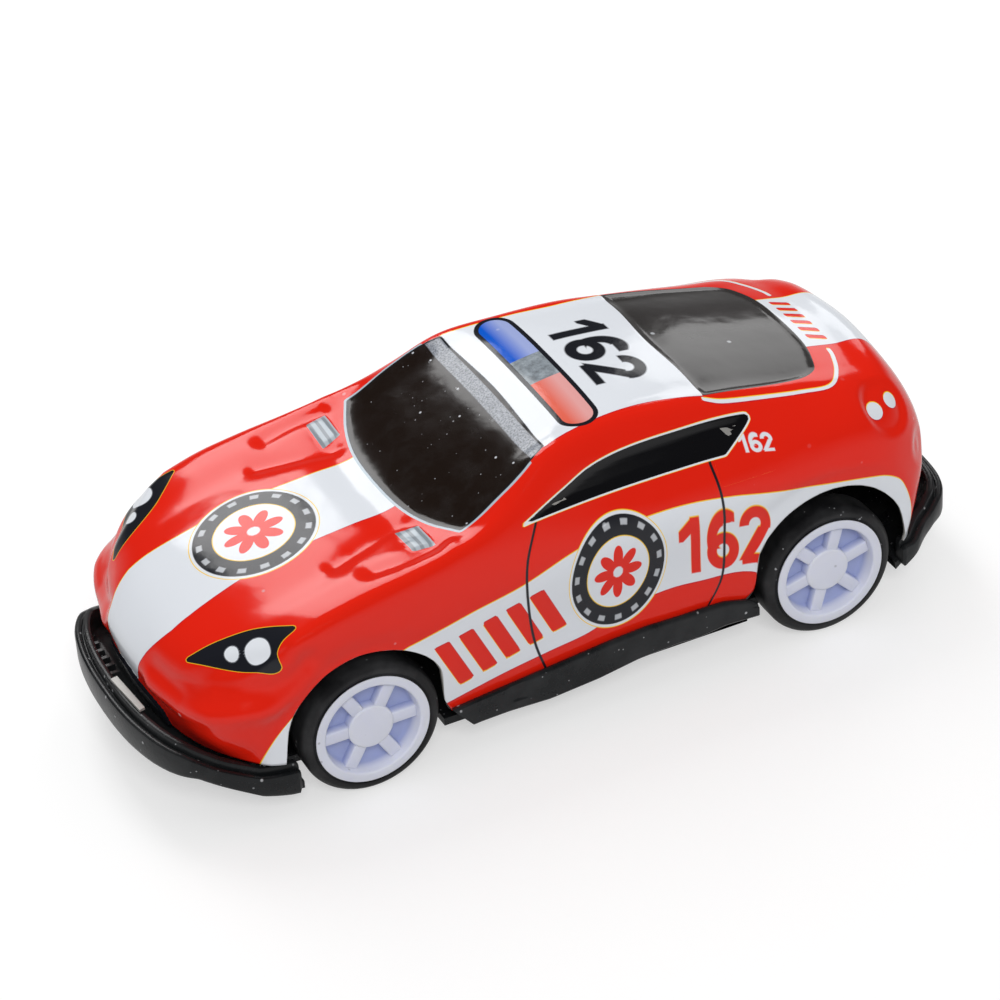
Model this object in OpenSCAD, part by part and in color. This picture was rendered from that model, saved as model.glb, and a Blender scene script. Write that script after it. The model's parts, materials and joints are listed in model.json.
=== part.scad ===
// Pull-back toy car: pressed tin body on a moulded chassis, four wheels with
// tyres, and a spring motor that drives the rear axle.
// +X points to the nose, +Y to the car's left, +Z up. The tyres stand on z = 0.

/* [Overall] */
// Distance between the two axles
wheelbase = 72; // [66:0.5:88]
// From the front axle to the front of the bumper
front_overhang = 30.5; // [28:0.5:38]
// From the rear axle to the back of the bumper
rear_overhang = 25.2; // [23.2:0.5:32]
// Width across the tin body
body_w = 48.4; // [46:0.2:58.2]
// Height of the roof above the ground
body_h = 43; // [38:0.5:52]

/* [Tin body] */
// Thickness of the pressed sheet
tin_t = 0.4; // [0.3:0.05:0.6]
// Radius of the front wheel arch
front_arch_r = 12.8; // [12.4:0.1:14]
// Radius of the rear wheel arch
rear_arch_r = 12.9; // [12.4:0.1:14]
// Height of the front arch's centre
front_arch_z = 10.2; // [9.5:0.1:11.5]
// Height of the rear arch's centre
rear_arch_z = 11.6; // [10.5:0.1:12.5]

/* [Chassis] */
// Height of the flat underside above the ground
ground_gap = 3.6; // [3:0.1:3.9]
// Thickness of the floor pan
pan_t = 1.2; // [1:0.1:1.3]
// Thickness of the sill wall
sill_t = 1; // [0.8:0.1:1.2]
// Thickness of one bumper ridge
ridge_t = 1.2; // [1:0.1:1.5]
// Step from the outer bumper ridge up to the inner one
ridge_step = 0.8; // [0.4:0.1:1.2]
// Room round a tyre in the pan's cut-out
tyre_room = 1.1; // [0.8:0.1:1.6]

/* [Wheels] */
// Outside radius of a tyre
tyre_r = 10.4; // [9.6:0.1:11]
// Radius of the seat between tyre and hub
seat_r = 8; // [7.5:0.1:8.2]
// Radius of the white rim's flange
rim_r = 8.55; // [8.3:0.05:8.9]
// Width of a tyre
tyre_w = 5.4; // [4.8:0.1:5.8]
// Distance between the outer faces of two hubs
track_w = 49.2; // [48:0.2:60]
// Radius of the plain disc in a hub's middle
hub_disc_r = 3.4; // [3:0.1:4]
// How far the disc lies behind the rim's face
disc_depth = 0.7; // [0.4:0.1:1]
// How far the web lies behind the rim's face
web_depth = 2.3; // [1.8:0.1:2.8]
// Number of spokes
spokes = 6; // [5:1:7]
// Width of a spoke
spoke_w = 1.9; // [1.4:0.1:2.4]
// Diameter of both axles
axle_d = 1.8; // [1.6:0.1:2]

/* [Motor] */
// Gear module
gear_module = 0.5; // [0.48:0.01:0.52]
// Teeth on the gear on the rear axle
axle_teeth = 10; // [10:1:11]
// Teeth on the large wheel of the compound gear
large_teeth = 24; // [23:1:25]
// Teeth on the small wheel of the compound gear
small_teeth = 10; // [10:1:11]
// Teeth on the spring gear
spring_teeth = 34; // [33:1:35]
// Space between the motor case's side walls
case_inner_w = 13; // [12.6:0.1:14]
// Thickness of the motor case's walls
case_t = 1.2; // [1:0.1:1.3]
// Diameter of the compound gear's pin
compound_pin_d = 1.2; // [1:0.1:1.4]
// Diameter of the spring gear's pin
spring_pin_d = 1.6; // [1.4:0.1:1.8]
// Thickness of the mainspring's strip
strip_t = 0.25; // [0.2:0.05:0.3]
// Turns of the mainspring
spring_turns = 6; // [5:1:7]

/* [Fits] */
// Radial clearance of a running fit
run_fit = 0.05; // [0.02:0.01:0.08]
// Backlash between two meshing gears
backlash = 0.12; // [0.1:0.01:0.18]
// Room between parts that must not touch
clear_gap = 0.3; // [0.25:0.05:0.5]

/* [Hidden] */
$fn = 64;

tin = [0.86, 0.13, 0.07];
black = [0.07, 0.07, 0.08];
steel = [0.7, 0.7, 0.72];
hub_white = [0.93, 0.94, 0.97];
rubber = [0.1, 0.1, 0.1];
case_grey = [0.82, 0.8, 0.74];
gear_white = [0.9, 0.89, 0.82];

// How far a foot goes into what carries it, and how far a cut runs past what it cuts
root = 0.4;
past = 1;

// The car's length is centred on x = 0.
car_len = front_overhang + wheelbase + rear_overhang;
nose_x = car_len / 2;
tail_x = -car_len / 2;
front_x = nose_x - front_overhang;
rear_x = tail_x + rear_overhang;

// The lines of the body below are drawn for these sizes and stretched to the chosen ones.
drawn_nose = 63.85;
drawn_tail = -63.85;
drawn_front = 33.35;
drawn_rear = -38.65;
drawn_w = 48.4;
drawn_h = 43;
belt_z = 12;
x_map = [[drawn_tail, tail_x], [drawn_rear, rear_x], [drawn_front, front_x], [drawn_nose, nose_x]];
function placed_x(x) = lookup(x, x_map);
function placed_y(y) = y * body_w / drawn_w;
function placed_z(z) = z <= belt_z ? z : belt_z + (z - belt_z) * (body_h - belt_z) / (drawn_h - belt_z);
function placed(p) = [placed_x(p.x), placed_y(p.y), placed_z(p.z)];

// ---- Splines ----

function hermite(a, b, ta, tb, t) =
    (2 * t^3 - 3 * t^2 + 1) * a + (t^3 - 2 * t^2 + t) * ta + (3 * t^2 - 2 * t^3) * b + (t^3 - t^2) * tb;

// A rail is a list of [station, x, y, z]; on_rail gives its point at any station.
function rail_slope(r, i) =
    let (last = len(r) - 1, a = r[max(i - 1, 0)], b = r[min(i + 1, last)])
    (i == 0 || i == last) ? (b - a) / (b[0] - a[0])
    : let (h0 = r[i][0] - a[0], h1 = b[0] - r[i][0])
      ((r[i] - a) / h0 * h1 + (b - r[i]) / h1 * h0) / (h0 + h1);
function span_at(r, u, i = 0) = (i < len(r) - 2 && u > r[i + 1][0]) ? span_at(r, u, i + 1) : i;
function on_rail(r, u) =
    let (i = span_at(r, u), h = r[i + 1][0] - r[i][0],
        p = hermite(r[i], r[i + 1], rail_slope(r, i) * h, rail_slope(r, i + 1) * h, (u - r[i][0]) / h))
    [p[1], p[2], p[3]];

// A smooth line through the points of a plan outline.
function smooth_line(pts, steps = 5) = [
    for (i = [0 : len(pts) - 2]) let (
        a = pts[i], b = pts[i + 1],
        ta = (b - pts[max(i - 1, 0)]) / 2,
        tb = (pts[min(i + 2, len(pts) - 1)] - a) / 2)
    for (s = [0 : steps - 1]) hermite(a, b, ta, tb, s / steps),
    pts[len(pts) - 1]];
function backwards(list) = [for (i = [len(list) - 1 : -1 : 0]) list[i]];
function joined(lists) = [for (l = lists) for (p = l) p];

// ---- Tin body ----

// The lip, the nose, the hood, the screens, the roof, the deck and the tail are
// stations 0 to 19. Each rail runs along the left half from the front lip to the rear lip.
arch_shift = 0.25;
function drawn(rail) = [for (k = rail) concat([k[0]], placed([k[1], k[2], k[3]]))];
function arch_point(station, cx, cz, r, angle, y) =
    [station, cx + r * cos(angle), placed_y(y), cz + r * sin(angle)];

centre_line = [[0, 58.1, 0, 11], [1, 59.2, 0, 15.5], [2, 59.6, 0, 20.4], [3, 54.9, 0, 25.3],
    [4, 46.4, 0, 28.8], [5, 36.4, 0, 31.1], [6, 27.4, 0, 32], [7, 20.4, 0, 32.7], [8, 11.4, 0, 37],
    [9, 1.9, 0, 41.2], [10, -7.6, 0, 43], [11, -16.6, 0, 42.6], [12, -24.6, 0, 41.4],
    [14, -36.6, 0, 39.2], [16, -49, 0, 36.8], [17, -55.4, 0, 35.2], [18, -60.1, 0, 25], [19, -60.7, 0, 10.6]];
stripe_line = [[0, 57.8, 6.5, 11], [1, 58.8, 7, 15.5], [2, 59.1, 7.3, 20.3], [3, 54.6, 7.2, 25.3],
    [4, 45.9, 7.2, 28.7], [5, 35.9, 7.2, 31], [6, 27.2, 7.1, 31.9], [7, 20, 7, 32.6], [8, 11.2, 7, 36.9],
    [9, 1.8, 7, 41.1], [10, -7.6, 7, 42.9], [11, -16.6, 7, 42.4], [12, -24.6, 7, 41.2],
    [14, -36.6, 7, 38.9], [16, -49, 7.1, 36.4], [17, -55, 7, 34.9], [18, -59.9, 7.2, 25],
    [19, -60.5, 7.2, 10.6]];
roof_line = [[0, 56.8, 12, 10.8], [1, 57.6, 12.8, 15.3], [2, 57.4, 13.4, 19.9], [3, 53.2, 13.8, 25],
    [4, 44.4, 13.8, 28.5], [5, 34.9, 14, 30.8], [6, 26.4, 14, 31.8], [7, 18.7, 13.5, 32.8],
    [8, 10.4, 13.6, 36.9], [9, 1.5, 13.2, 41], [10, -7.6, 13.2, 42.4], [11, -16.6, 13, 41.8],
    [12, -24.6, 12.8, 40.6], [14, -36.6, 12.6, 38.2], [16, -48.8, 12.6, 35.7], [17, -54.6, 12.8, 34],
    [18, -59.2, 13, 24.8], [19, -59.2, 12, 10.6]];
crown_line = [[0, 55, 16.2, 10.4], [1, 56.5, 17.9, 15.6], [2, 55.6, 18.7, 20.6], [3, 50.5, 19.1, 25.8],
              [4, 41.6, 19.2, 29.6], [5, 33.4, 19.2, 31.4], [6, 25.4, 19.1, 32.4], [7, 16, 18.9, 33.8],
              [8, 8.4, 18.7, 37.8], [9, 1.2, 18, 41], [10, -7.6, 17.2, 41.4], [11, -16.6, 17, 41],
              [12, -24.6, 16.6, 39.9], [14, -36.6, 16.8, 37.4], [16, -48.4, 17.3, 34.6],
              [17, -54, 17.2, 32], [18, -58, 17.2, 24], [19, -57.4, 15.4, 10.6]];
belt_line = [[0, 52.8, 19.4, 10.1], [1, 54.6, 21.3, 15.3], [2, 53, 22.3, 20.4], [3, 47.6, 23.1, 26.3],
             [4, 39.4, 23.3, 29.5], [5, 32.1, 23.2, 30.9], [6, 24, 23, 31.9], [7, 15.9, 22.4, 33.4],
             [8, 8.4, 21.8, 34.6], [9, 0.4, 21.4, 34.7], [10, -7.6, 21.1, 34.5], [12, -25.1, 21.4, 34.2],
             [14, -36.6, 21.8, 33.5], [16, -48.1, 21.8, 31.3], [17, -53.2, 21, 28.3],
             [18, -56.4, 20.3, 21.5], [19, -55.4, 18.4, 10.5]];
widest_line = [[0, 50.5, 21.8, 9.8], [1, 50.9, 23.2, 14.9], [2, 48.9, 23.9, 19.6], [3, 43.9, 24.2, 24],
               [4, 36.6, 24.2, 26.6], [5, 29.9, 24.2, 26.6], [6, 23.4, 24.1, 26], [7, 17.9, 24, 26.8],
               [8, 9.4, 23.9, 27], [10, -7.6, 23.9, 27.8], [12, -25.6, 24.2, 28.2], [14, -34.6, 24.2, 28.5],
               [15, -40.6, 24, 28.4], [16, -46.9, 23.9, 27], [17, -51.2, 23.3, 24.2],
               [18, -54.3, 22.3, 18.5], [19, -53.8, 20.8, 10.4]];
waist_line = [[0, 48.4, 23.3, 9.4], [1, 47.6, 23.7, 15], [2, 45.2, 23.8, 19], [3, 40.9, 23.8, 22],
    [4, 34.7, 23.9, 24], [5, 28.4, 24, 23], [6, 23, 23.9, 20.5], [7, 19.7, 23.8, 17], [8, 10.4, 23.3, 16.5],
    [10, -7.6, 23, 17.5], [12, -25.4, 23.7, 19.5], [13, -28.3, 24, 23], [14, -33.2, 24.1, 25.5],
    [15, -39.6, 24.1, 26.3], [16, -46, 24.1, 25], [17, -50.5, 23.8, 20.8], [18, -52.8, 23.2, 15.5],
    [19, -52.7, 22.2, 10.4]];
// The lower edge: [station, angle round the arch, y] over the wheels, and [station, x, y, z] elsewhere.
front_arch = [[1, 25, 24.1], [2, 45, 24], [3, 65, 23.9], [4, 90, 23.9], [5, 120, 24], [6, 150, 23.8]];
rear_arch = [[13, 30, 24], [14, 60, 24.1], [15, 90, 24.1], [16, 120, 24], [17, 150, 23.7]];
front_corner = [[0, 46.3, 24, 9.2]];
sill_edge = [[7, 20.9, 23.1, 8], [8, 10.4, 22.9, 7.6], [10, -7.6, 22.8, 9], [11, -16.6, 22.9, 9.9],
    [12, -26, 23.1, 9.8]];
rear_corner = [[18, -51.7, 23.4, 12.5], [19, -51.7, 23, 10.4]];
edge_line = joined([
    drawn(front_corner),
    [for (k = front_arch) arch_point(k[0], front_x + arch_shift, front_arch_z, front_arch_r, k[1], k[2])],
    drawn(sill_edge),
    [for (k = rear_arch) arch_point(k[0], rear_x - arch_shift, rear_arch_z, rear_arch_r, k[1], k[2])],
    drawn(rear_corner)]);
rails = concat([for (r = [centre_line, stripe_line, roof_line, crown_line, belt_line, widest_line,
    waist_line]) drawn(r)], [edge_line]);

// One section of the left half at a station: v runs from 0 on the centre line to 7 on the lower edge.
function section_at(u) = [for (r = rails) on_rail(r, u)];
function mirrored(p) = [p.x, -p.y, p.z];
function section_knot(s, i) =
    i < 0 ? mirrored(s[-i]) : i >= len(s) ? 2 * s[len(s) - 1] - s[len(s) - 2] : s[i];
function on_section(s, v) =
    let (i = min(floor(v), len(s) - 2), a = section_knot(s, i), b = section_knot(s, i + 1))
    hermite(a, b, (b - section_knot(s, i - 1)) / 2, (section_knot(s, i + 2) - a) / 2, v - i);

stations = 19;
columns = 48;
half_steps = [0, 0.5, 1, 1.6, 2.2, 2.8, 3.4, 4, 4.7, 5.4, 6.2, 7];
half_rows = len(half_steps) - 1;
rows = 2 * half_rows + 1;
// Row 0 is the right lower edge and the last row the left lower edge.
function full_section(s) = [for (j = [0 : rows - 1])
    j < half_rows ? mirrored(on_section(s, half_steps[half_rows - j]))
        : on_section(s, half_steps[j - half_rows])];
outer_skin = [for (i = [0 : columns]) full_section(section_at(stations * i / columns))];

// The inner skin lies one sheet thickness inside.
function unit(v) = v / norm(v);
function skin_normal(i, j) = unit(cross(
    outer_skin[min(i + 1, columns)][j] - outer_skin[max(i - 1, 0)][j],
    outer_skin[i][min(j + 1, rows - 1)] - outer_skin[i][max(j - 1, 0)]));
inner_skin = [for (i = [0 : columns])
    [for (j = [0 : rows - 1]) outer_skin[i][j] + tin_t * skin_normal(i, j)]];

// Tabs at the nose and the tail: the edge goes down through the pan and is bent outwards under it.
tab_rows = [half_rows - 2, half_rows + 1];
tab_drop = pan_t + 2 * clear_gap + tin_t;
tab_bend = 1.8;
function tab_ring(c, j, stage) =
    let (out = c == 0 ? 1 : -1, low = stage == 0 ? 0 : tab_drop, sheet = stage == 0 ? 0 : tin_t,
        bend = stage == 2 ? out * tab_bend : 0)
    [for (p = [outer_skin[c][j], outer_skin[c][j + 1]]) p + [bend, 0, sheet - low],
     for (p = [inner_skin[c][j + 1], inner_skin[c][j]]) p + [bend, 0, -low]];

skin_size = (columns + 1) * rows;
function outer_id(i, j) = i * rows + j;
function inner_id(i, j) = skin_size + outer_id(i, j);
function turned(face) = backwards(face);
function is_tab(j) = len(search(j, tab_rows)) > 0;
tab_list = [for (c = [0, columns]) for (j = tab_rows) [c, j]];
tab_points = joined([for (t = tab_list) concat(tab_ring(t[0], t[1], 1), tab_ring(t[0], t[1], 2))]);
function tab_faces(n) =
    let (c = tab_list[n][0], j = tab_list[n][1], first = 2 * skin_size + 8 * n,
        root = [outer_id(c, j), outer_id(c, j + 1), inner_id(c, j + 1), inner_id(c, j)],
        fold = [for (k = [0 : 3]) first + k], tip = [for (k = [4 : 7]) first + k],
        faces = concat(
            [for (k = [0 : 3]) [root[k], root[(k + 1) % 4], fold[(k + 1) % 4], fold[k]]],
            [for (k = [0 : 3]) [fold[k], fold[(k + 1) % 4], tip[(k + 1) % 4], tip[k]]],
            [[tip[0], tip[1], tip[2], tip[3]]]))
    c == 0 ? [for (f = faces) turned(f)] : faces;

module body_shell() {
    skins = concat(
        [for (i = [0 : columns - 1]) for (j = [0 : rows - 2])
            [outer_id(i, j), outer_id(i, j + 1), outer_id(i + 1, j + 1), outer_id(i + 1, j)]],
        [for (i = [0 : columns - 1]) for (j = [0 : rows - 2])
            [inner_id(i, j), inner_id(i + 1, j), inner_id(i + 1, j + 1), inner_id(i, j + 1)]]);
    side_rims = joined([for (i = [0 : columns - 1]) [
        [outer_id(i, 0), outer_id(i + 1, 0), inner_id(i + 1, 0), inner_id(i, 0)],
        [outer_id(i, rows - 1), inner_id(i, rows - 1), inner_id(i + 1, rows - 1),
            outer_id(i + 1, rows - 1)]]]);
    lip_rims = joined([for (j = [0 : rows - 2]) is_tab(j) ? [] : [
        [outer_id(0, j), inner_id(0, j), inner_id(0, j + 1), outer_id(0, j + 1)],
        [outer_id(columns, j), outer_id(columns, j + 1), inner_id(columns, j + 1), inner_id(columns, j)]]]);
    tabs = joined([for (n = [0 : len(tab_list) - 1]) tab_faces(n)]);
    color(tin) polyhedron(
        points = concat(joined(outer_skin), joined(inner_skin), tab_points),
        faces = concat(skins, side_rims, lip_rims, tabs), convexity = 10);
}

// ---- Chassis ----

pan_top = ground_gap + pan_t;
cut_r = tyre_r + tyre_room;
inner_room = 1.6;
pan_inner_y = track_w / 2 - tyre_w - inner_room;
sill_y = placed_y(24.4);
sill_inner_y = sill_y - sill_t;
ledge_w = 2.8;
ledge_t = 1.2;
ledge_y = sill_y - ledge_w;
web_t = 0.8;
sill_gap = 0.7;
sill_front = front_x - cut_r - sill_gap;
sill_rear = rear_x + cut_r;
rear_end = placed_x(-52.2);
bumper_depth = 20;

front_bumper_half = concat([[front_x + cut_r, placed_y(24.6)]],
    [for (p = [[48.4, 24.3], [51.9, 23.4], [55.9, 21.8], [59.6, 19], [61.8, 15], [63.1, 10], [63.7, 5],
        [drawn_nose, 0]]) [placed_x(p.x), placed_y(p.y)]]);
rear_bumper_half = [for (p = [[-52.2, 23], [-54.3, 22.6], [-56.5, 21.2], [-59, 20], [-61.2, 18.2],
    [-63, 14.6], [-63.75, 9], [drawn_tail, 0]]) [placed_x(p.x), placed_y(p.y)]];
function flipped(pts) = [for (p = backwards(pts)) if (p.y != 0) [p.x, -p.y]];
// Both lines run clockwise seen from above, so the car lies on their right.
function clockwise_front(half) = let (h = smooth_line(half)) concat(h, flipped(h));
function clockwise_rear(half) = let (h = smooth_line(half))
    concat([for (p = h) if (p.y != 0) [p.x, -p.y]], backwards(h));
front_bumper_line = clockwise_front(front_bumper_half);
rear_bumper_line = clockwise_rear(rear_bumper_half);
function inset_line(pts, d) = [for (i = [0 : len(pts) - 1])
    let (t = unit(pts[min(i + 1, len(pts) - 1)] - pts[max(i - 1, 0)])) pts[i] + d * [t.y, -t.x]];

// Heights of the bumpers' and the pan's lower and upper edges along the car.
flat_behind = 10.8;
flat_ahead = 8.5;
pan_line = concat([for (p = [[drawn_tail, 9.2], [-58.6, 9], [-55.5, 7.4], [-52, 5.4]])
        [placed_x(p.x), p.y]],
    [[rear_x - flat_behind, ground_gap], [front_x + flat_ahead, ground_gap]],
    [for (p = [[46, 4.4], [50, 5.5], [54.5, 7.9], [58, 9.5], [drawn_nose, 9.6]]) [placed_x(p.x), p.y]]);
front_top_line = [for (p = [[40, 8.1], [50, 9], [55.5, 11.3], [59.5, 13.3], [62.5, 14.1],
    [drawn_nose + past, 14.3]]) [placed_x(p.x) + p.x - min(p.x, drawn_nose), p.y]];
rear_top_line = [for (p = [[drawn_tail - past, 13.8], [-60, 13.3], [-57, 11.8], [-54, 9.9], [-48, 9.4]])
    [placed_x(p.x) + p.x - max(p.x, drawn_tail), p.y]];
sill_low = [4.9, 6.9];
sill_high = [8.3, 11];

// A slab across the whole car between two height lines.
module slab(low, high) rotate([90, 0, 0]) linear_extrude(2 * body_w, center = true)
    polygon(concat(low, backwards(high)));
module raised(line, thickness) slab(line, [for (p = line) p + [0, thickness]]);

module bumper(line, tops) {
    last = len(pan_line) - 1;
    low = [for (i = [0 : last]) pan_line[i] + [i == 0 ? -past : i == last ? past : 0, 0]];
    for (ridge = [0, 1]) intersection() {
        linear_extrude(bumper_depth)
            polygon(concat(inset_line(line, ridge * ridge_t),
                backwards(inset_line(line, (ridge + 1) * ridge_t))));
        slab([for (p = low) if (p.x >= min(tops[0].x, tops[len(tops) - 1].x)
                && p.x <= max(tops[0].x, tops[len(tops) - 1].x)) p],
            [for (p = tops) p - [0, (1 - ridge) * ridge_step]]);
    }
}

module pan() {
    side = [[sill_front, ledge_y + web_t], [sill_rear, ledge_y + web_t], [sill_rear, pan_inner_y]];
    outline = concat(front_bumper_line,
        [[front_x + cut_r, -pan_inner_y], [sill_front, -pan_inner_y]],
        [for (p = side) [p.x, -p.y]], [[rear_end, -pan_inner_y]],
        rear_bumper_line,
        [[rear_end, pan_inner_y]], backwards(side), [[sill_front, pan_inner_y],
        [front_x + cut_r, pan_inner_y]]);
    intersection() {
        linear_extrude(bumper_depth) polygon(outline);
        raised(pan_line, pan_t);
    }
}

module sill(side) {
    wall = [[sill_front, sill_low[0]], [sill_rear, sill_low[1]], [sill_rear, sill_high[1]],
        [sill_front, sill_high[0]]];
    ledge = [[sill_front, sill_low[0]], [sill_rear, sill_low[1]], [sill_rear, sill_low[1] + ledge_t],
        [sill_front, sill_low[0] + ledge_t]];
    web = [[sill_front, ground_gap], [sill_rear, ground_gap], [sill_rear, sill_low[1] + ledge_t],
        [sill_front, sill_low[0] + ledge_t]];
    module between(a, b, profile) translate([0, side > 0 ? b : -a, 0]) rotate([90, 0, 0])
        linear_extrude(b - a) polygon(profile);
    between(sill_inner_y, sill_y, wall);
    between(ledge_y, sill_y, ledge);
    between(ledge_y, ledge_y + web_t, web);
}

// Front axle bearings
lug_w = 2.4;
lug_l = 5;
lug_inset = 0.4;
lug_y = pan_inner_y - lug_inset;
module lug(side) translate([front_x - lug_l / 2, side > 0 ? lug_y - lug_w : -lug_y, pan_top - root])
    cube([lug_l, lug_w, tyre_r + lug_l / 2 - pan_top + root]);

// Motor case screws
screw_r = 0.8;
boss_r = 2;
boss_h = 1.4;
ear_t = 1.2;
pan_bite = 0.7;
screw_depth = boss_h + pan_bite;
ear_reach = 2.6;
function screw_spots() = [[case_rear - ear_reach, 0], [case_front + ear_reach, 0]];

module tab_slots() for (end = [0, columns]) for (j = tab_rows) {
    a = outer_skin[end][j];
    b = outer_skin[end][j + 1];
    out = end == 0 ? 1 : -1;
    translate([min(a.x, b.x, inner_skin[end][j].x) - clear_gap, min(a.y, b.y) - clear_gap, 0])
        cube([abs(a.x - inner_skin[end][j].x) + abs(a.x - b.x) + tin_t + 2 * clear_gap,
            abs(a.y - b.y) + 2 * clear_gap, bumper_depth]);
}

module chassis() color(black) difference() {
    union() {
        pan();
        bumper(front_bumper_line, front_top_line);
        bumper(rear_bumper_line, rear_top_line);
        for (side = [-1, 1]) {
            sill(side);
            lug(side);
        }
        for (p = screw_spots()) translate([p.x, p.y, pan_top - root])
            cylinder(r = boss_r, h = boss_h + root);
    }
    tab_slots();
    translate([front_x, 0, tyre_r]) rotate([90, 0, 0])
        cylinder(r = axle_d / 2 + run_fit, h = 2 * (lug_y + past), center = true);
    for (p = screw_spots()) translate([p.x, p.y, pan_top + boss_h - screw_depth])
        cylinder(r = screw_r, h = screw_depth + past);
}

// ---- Wheels ----

hub_back = 1.2;
boss_out = 0.4;
tyre_gap = 0.25;
boss_hub_r = 2.2;
barrel_t = 0.8;
barrel_w = tyre_w + tyre_gap;
corner_r = min(1, (tyre_r - seat_r) / 2);
function corner(cx, cy, r, from, to) = [for (k = [0 : 5]) let (a = from + (to - from) * k / 5)
    [cx + r * cos(a), cy + r * sin(a)]];

// Wheel parts are drawn about Z with the rim's outer face at z = 0 and the car below it.
module at_wheel(x, side) translate([x, side * track_w / 2, tyre_r]) rotate([side > 0 ? -90 : 90, 0, 0])
    children();

module tyre() {
    outer = -tyre_gap;
    inner = outer - tyre_w;
    shape = concat([[seat_r, outer], [seat_r, inner]],
        corner(tyre_r - corner_r, inner + corner_r, corner_r, -90, 0),
        corner(tyre_r - corner_r, outer - corner_r, corner_r, 0, 90));
    color(rubber) rotate_extrude($fn = 96) polygon(shape);
}

// The flange lies on the tyre's seat and covers its inner edge.
module hub() color(hub_white) difference() {
    union() {
        rotate_extrude($fn = 96) polygon([[seat_r - barrel_t, 0], [seat_r, 0], [seat_r, -barrel_w],
            [seat_r - barrel_t, -barrel_w]]);
        translate([0, 0, -tyre_gap]) difference() {
            cylinder(r = rim_r, h = tyre_gap, $fn = 96);
            translate([0, 0, -past]) cylinder(r = seat_r - barrel_t, h = tyre_gap + 2 * past, $fn = 96);
        }
        translate([0, 0, -web_depth - hub_back]) cylinder(r = seat_r - barrel_t / 2, h = hub_back);
        translate([0, 0, -web_depth - root]) cylinder(r = hub_disc_r, h = web_depth + root - disc_depth);
        translate([0, 0, -barrel_w - boss_out])
            cylinder(r = boss_hub_r, h = barrel_w + boss_out - web_depth - root);
        for (k = [0 : spokes - 1]) rotate([0, 0, 360 / spokes * k])
            translate([0, -spoke_w / 2, -web_depth - root])
                cube([seat_r - barrel_t / 2, spoke_w, web_depth + root - disc_depth]);
    }
    translate([0, 0, -axle_end - barrel_w]) cylinder(r = axle_d / 2, h = barrel_w);
}
axle_end = 1.6;
axle_len = track_w - 2 * axle_end;

module axle(x) color(steel) translate([x, 0, tyre_r]) rotate([90, 0, 0])
    cylinder(r = axle_d / 2, h = axle_len, center = true);

// ---- Motor ----

// Involute teeth at 28 degrees, which leaves a ten-tooth pinion without undercut.
pressure = 28;
function involute(a) = tan(a) * 180 / PI - a;
function pitch_r(teeth) = gear_module * teeth / 2;
function tip_r(teeth) = pitch_r(teeth) + gear_module;
function half_tooth(teeth, r) =
    let (base = pitch_r(teeth) * cos(pressure), a = acos(min(1, base / r)))
    90 / teeth - backlash / 4 / pitch_r(teeth) * 180 / PI + involute(pressure) - involute(a);
flank_steps = 3;
dedendum = 1.2;
tip_trim = 0.1;
function gear_points(teeth) =
    let (base = pitch_r(teeth) * cos(pressure), low = pitch_r(teeth) - dedendum * gear_module,
        start = max(base, low), tip = tip_r(teeth) - tip_trim * gear_module,
        radii = [for (k = [0 : flank_steps]) start + (tip - start) * k / flank_steps])
    [for (n = [0 : teeth - 1]) let (mid = 360 / teeth * n, foot = half_tooth(teeth, start))
        each concat(
            [low * [cos(mid - foot), sin(mid - foot)]],
            [for (r = radii) let (a = mid - half_tooth(teeth, r)) r * [cos(a), sin(a)]],
            [for (r = backwards(radii)) let (a = mid + half_tooth(teeth, r)) r * [cos(a), sin(a)]],
            [low * [cos(mid + foot), sin(mid + foot)]])];
// The turn that puts a gear in mesh with a neighbour turned by other_turn, seen along direction.
function mesh_turn(teeth, other_teeth, other_turn, direction) =
    let (phase = (direction - other_turn) * other_teeth / 360) direction + 180 - (0.5 - phase) * 360 / teeth;

case_floor = pan_top;
inner_half = case_inner_w / 2;
case_half = inner_half + case_t;
axle_at = [rear_x, tyre_r];
compound_dir = 40;
compound_at = axle_at + (pitch_r(axle_teeth) + pitch_r(large_teeth)) * [cos(compound_dir), sin(compound_dir)];
spring_reach = pitch_r(small_teeth) + pitch_r(spring_teeth);
spring_rise = max(0, case_floor + case_t + tip_r(spring_teeth) + clear_gap - compound_at.y);
spring_dir = asin(spring_rise / spring_reach);
spring_at = compound_at + spring_reach * [cos(spring_dir), sin(spring_dir)];
large_turn = mesh_turn(large_teeth, axle_teeth, 0, compound_dir);
spring_turn = mesh_turn(spring_teeth, small_teeth, 0, spring_dir);

// Layers across the motor, from the right wall to the left one
gear_w = 2;
axle_gear_w = gear_w + 0.8;
large_gap = 1.3;
large_y = -inner_half + large_gap;
axle_gear_y = large_y + (gear_w - axle_gear_w) / 2;
small_gap = 0.2;
small_y = large_y + gear_w + small_gap;
small_w = 3.2;
layer_gap = 0.6;
spring_gear_y = small_y + layer_gap;
drum_y = spring_gear_y + gear_w + layer_gap;
drum_end = 0.7;
drum_w = inner_half - drum_end - drum_y;

case_rear = rear_x - tip_r(axle_teeth) - clear_gap - 2 * case_t;
case_front = spring_at.x + tip_r(spring_teeth) + clear_gap + case_t;
case_top = spring_at.y + tip_r(spring_teeth) + clear_gap + case_t;
rear_drop = 4;
case_corner = 3;
function case_outline(inset) =
    let (l = case_rear + inset, r = case_front - inset, b = case_floor + inset, t = case_top - inset,
        c = case_corner - inset, d = rear_drop)
    concat(corner(r - c, b + c, c, -90, 0), corner(r - c, t - c, c, 0, 90),
        [[compound_at.x, t], [l + c, t - d]], corner(l + c, t - d - c, c, 90, 180),
        corner(l + c, b + c, c, 180, 270));

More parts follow.
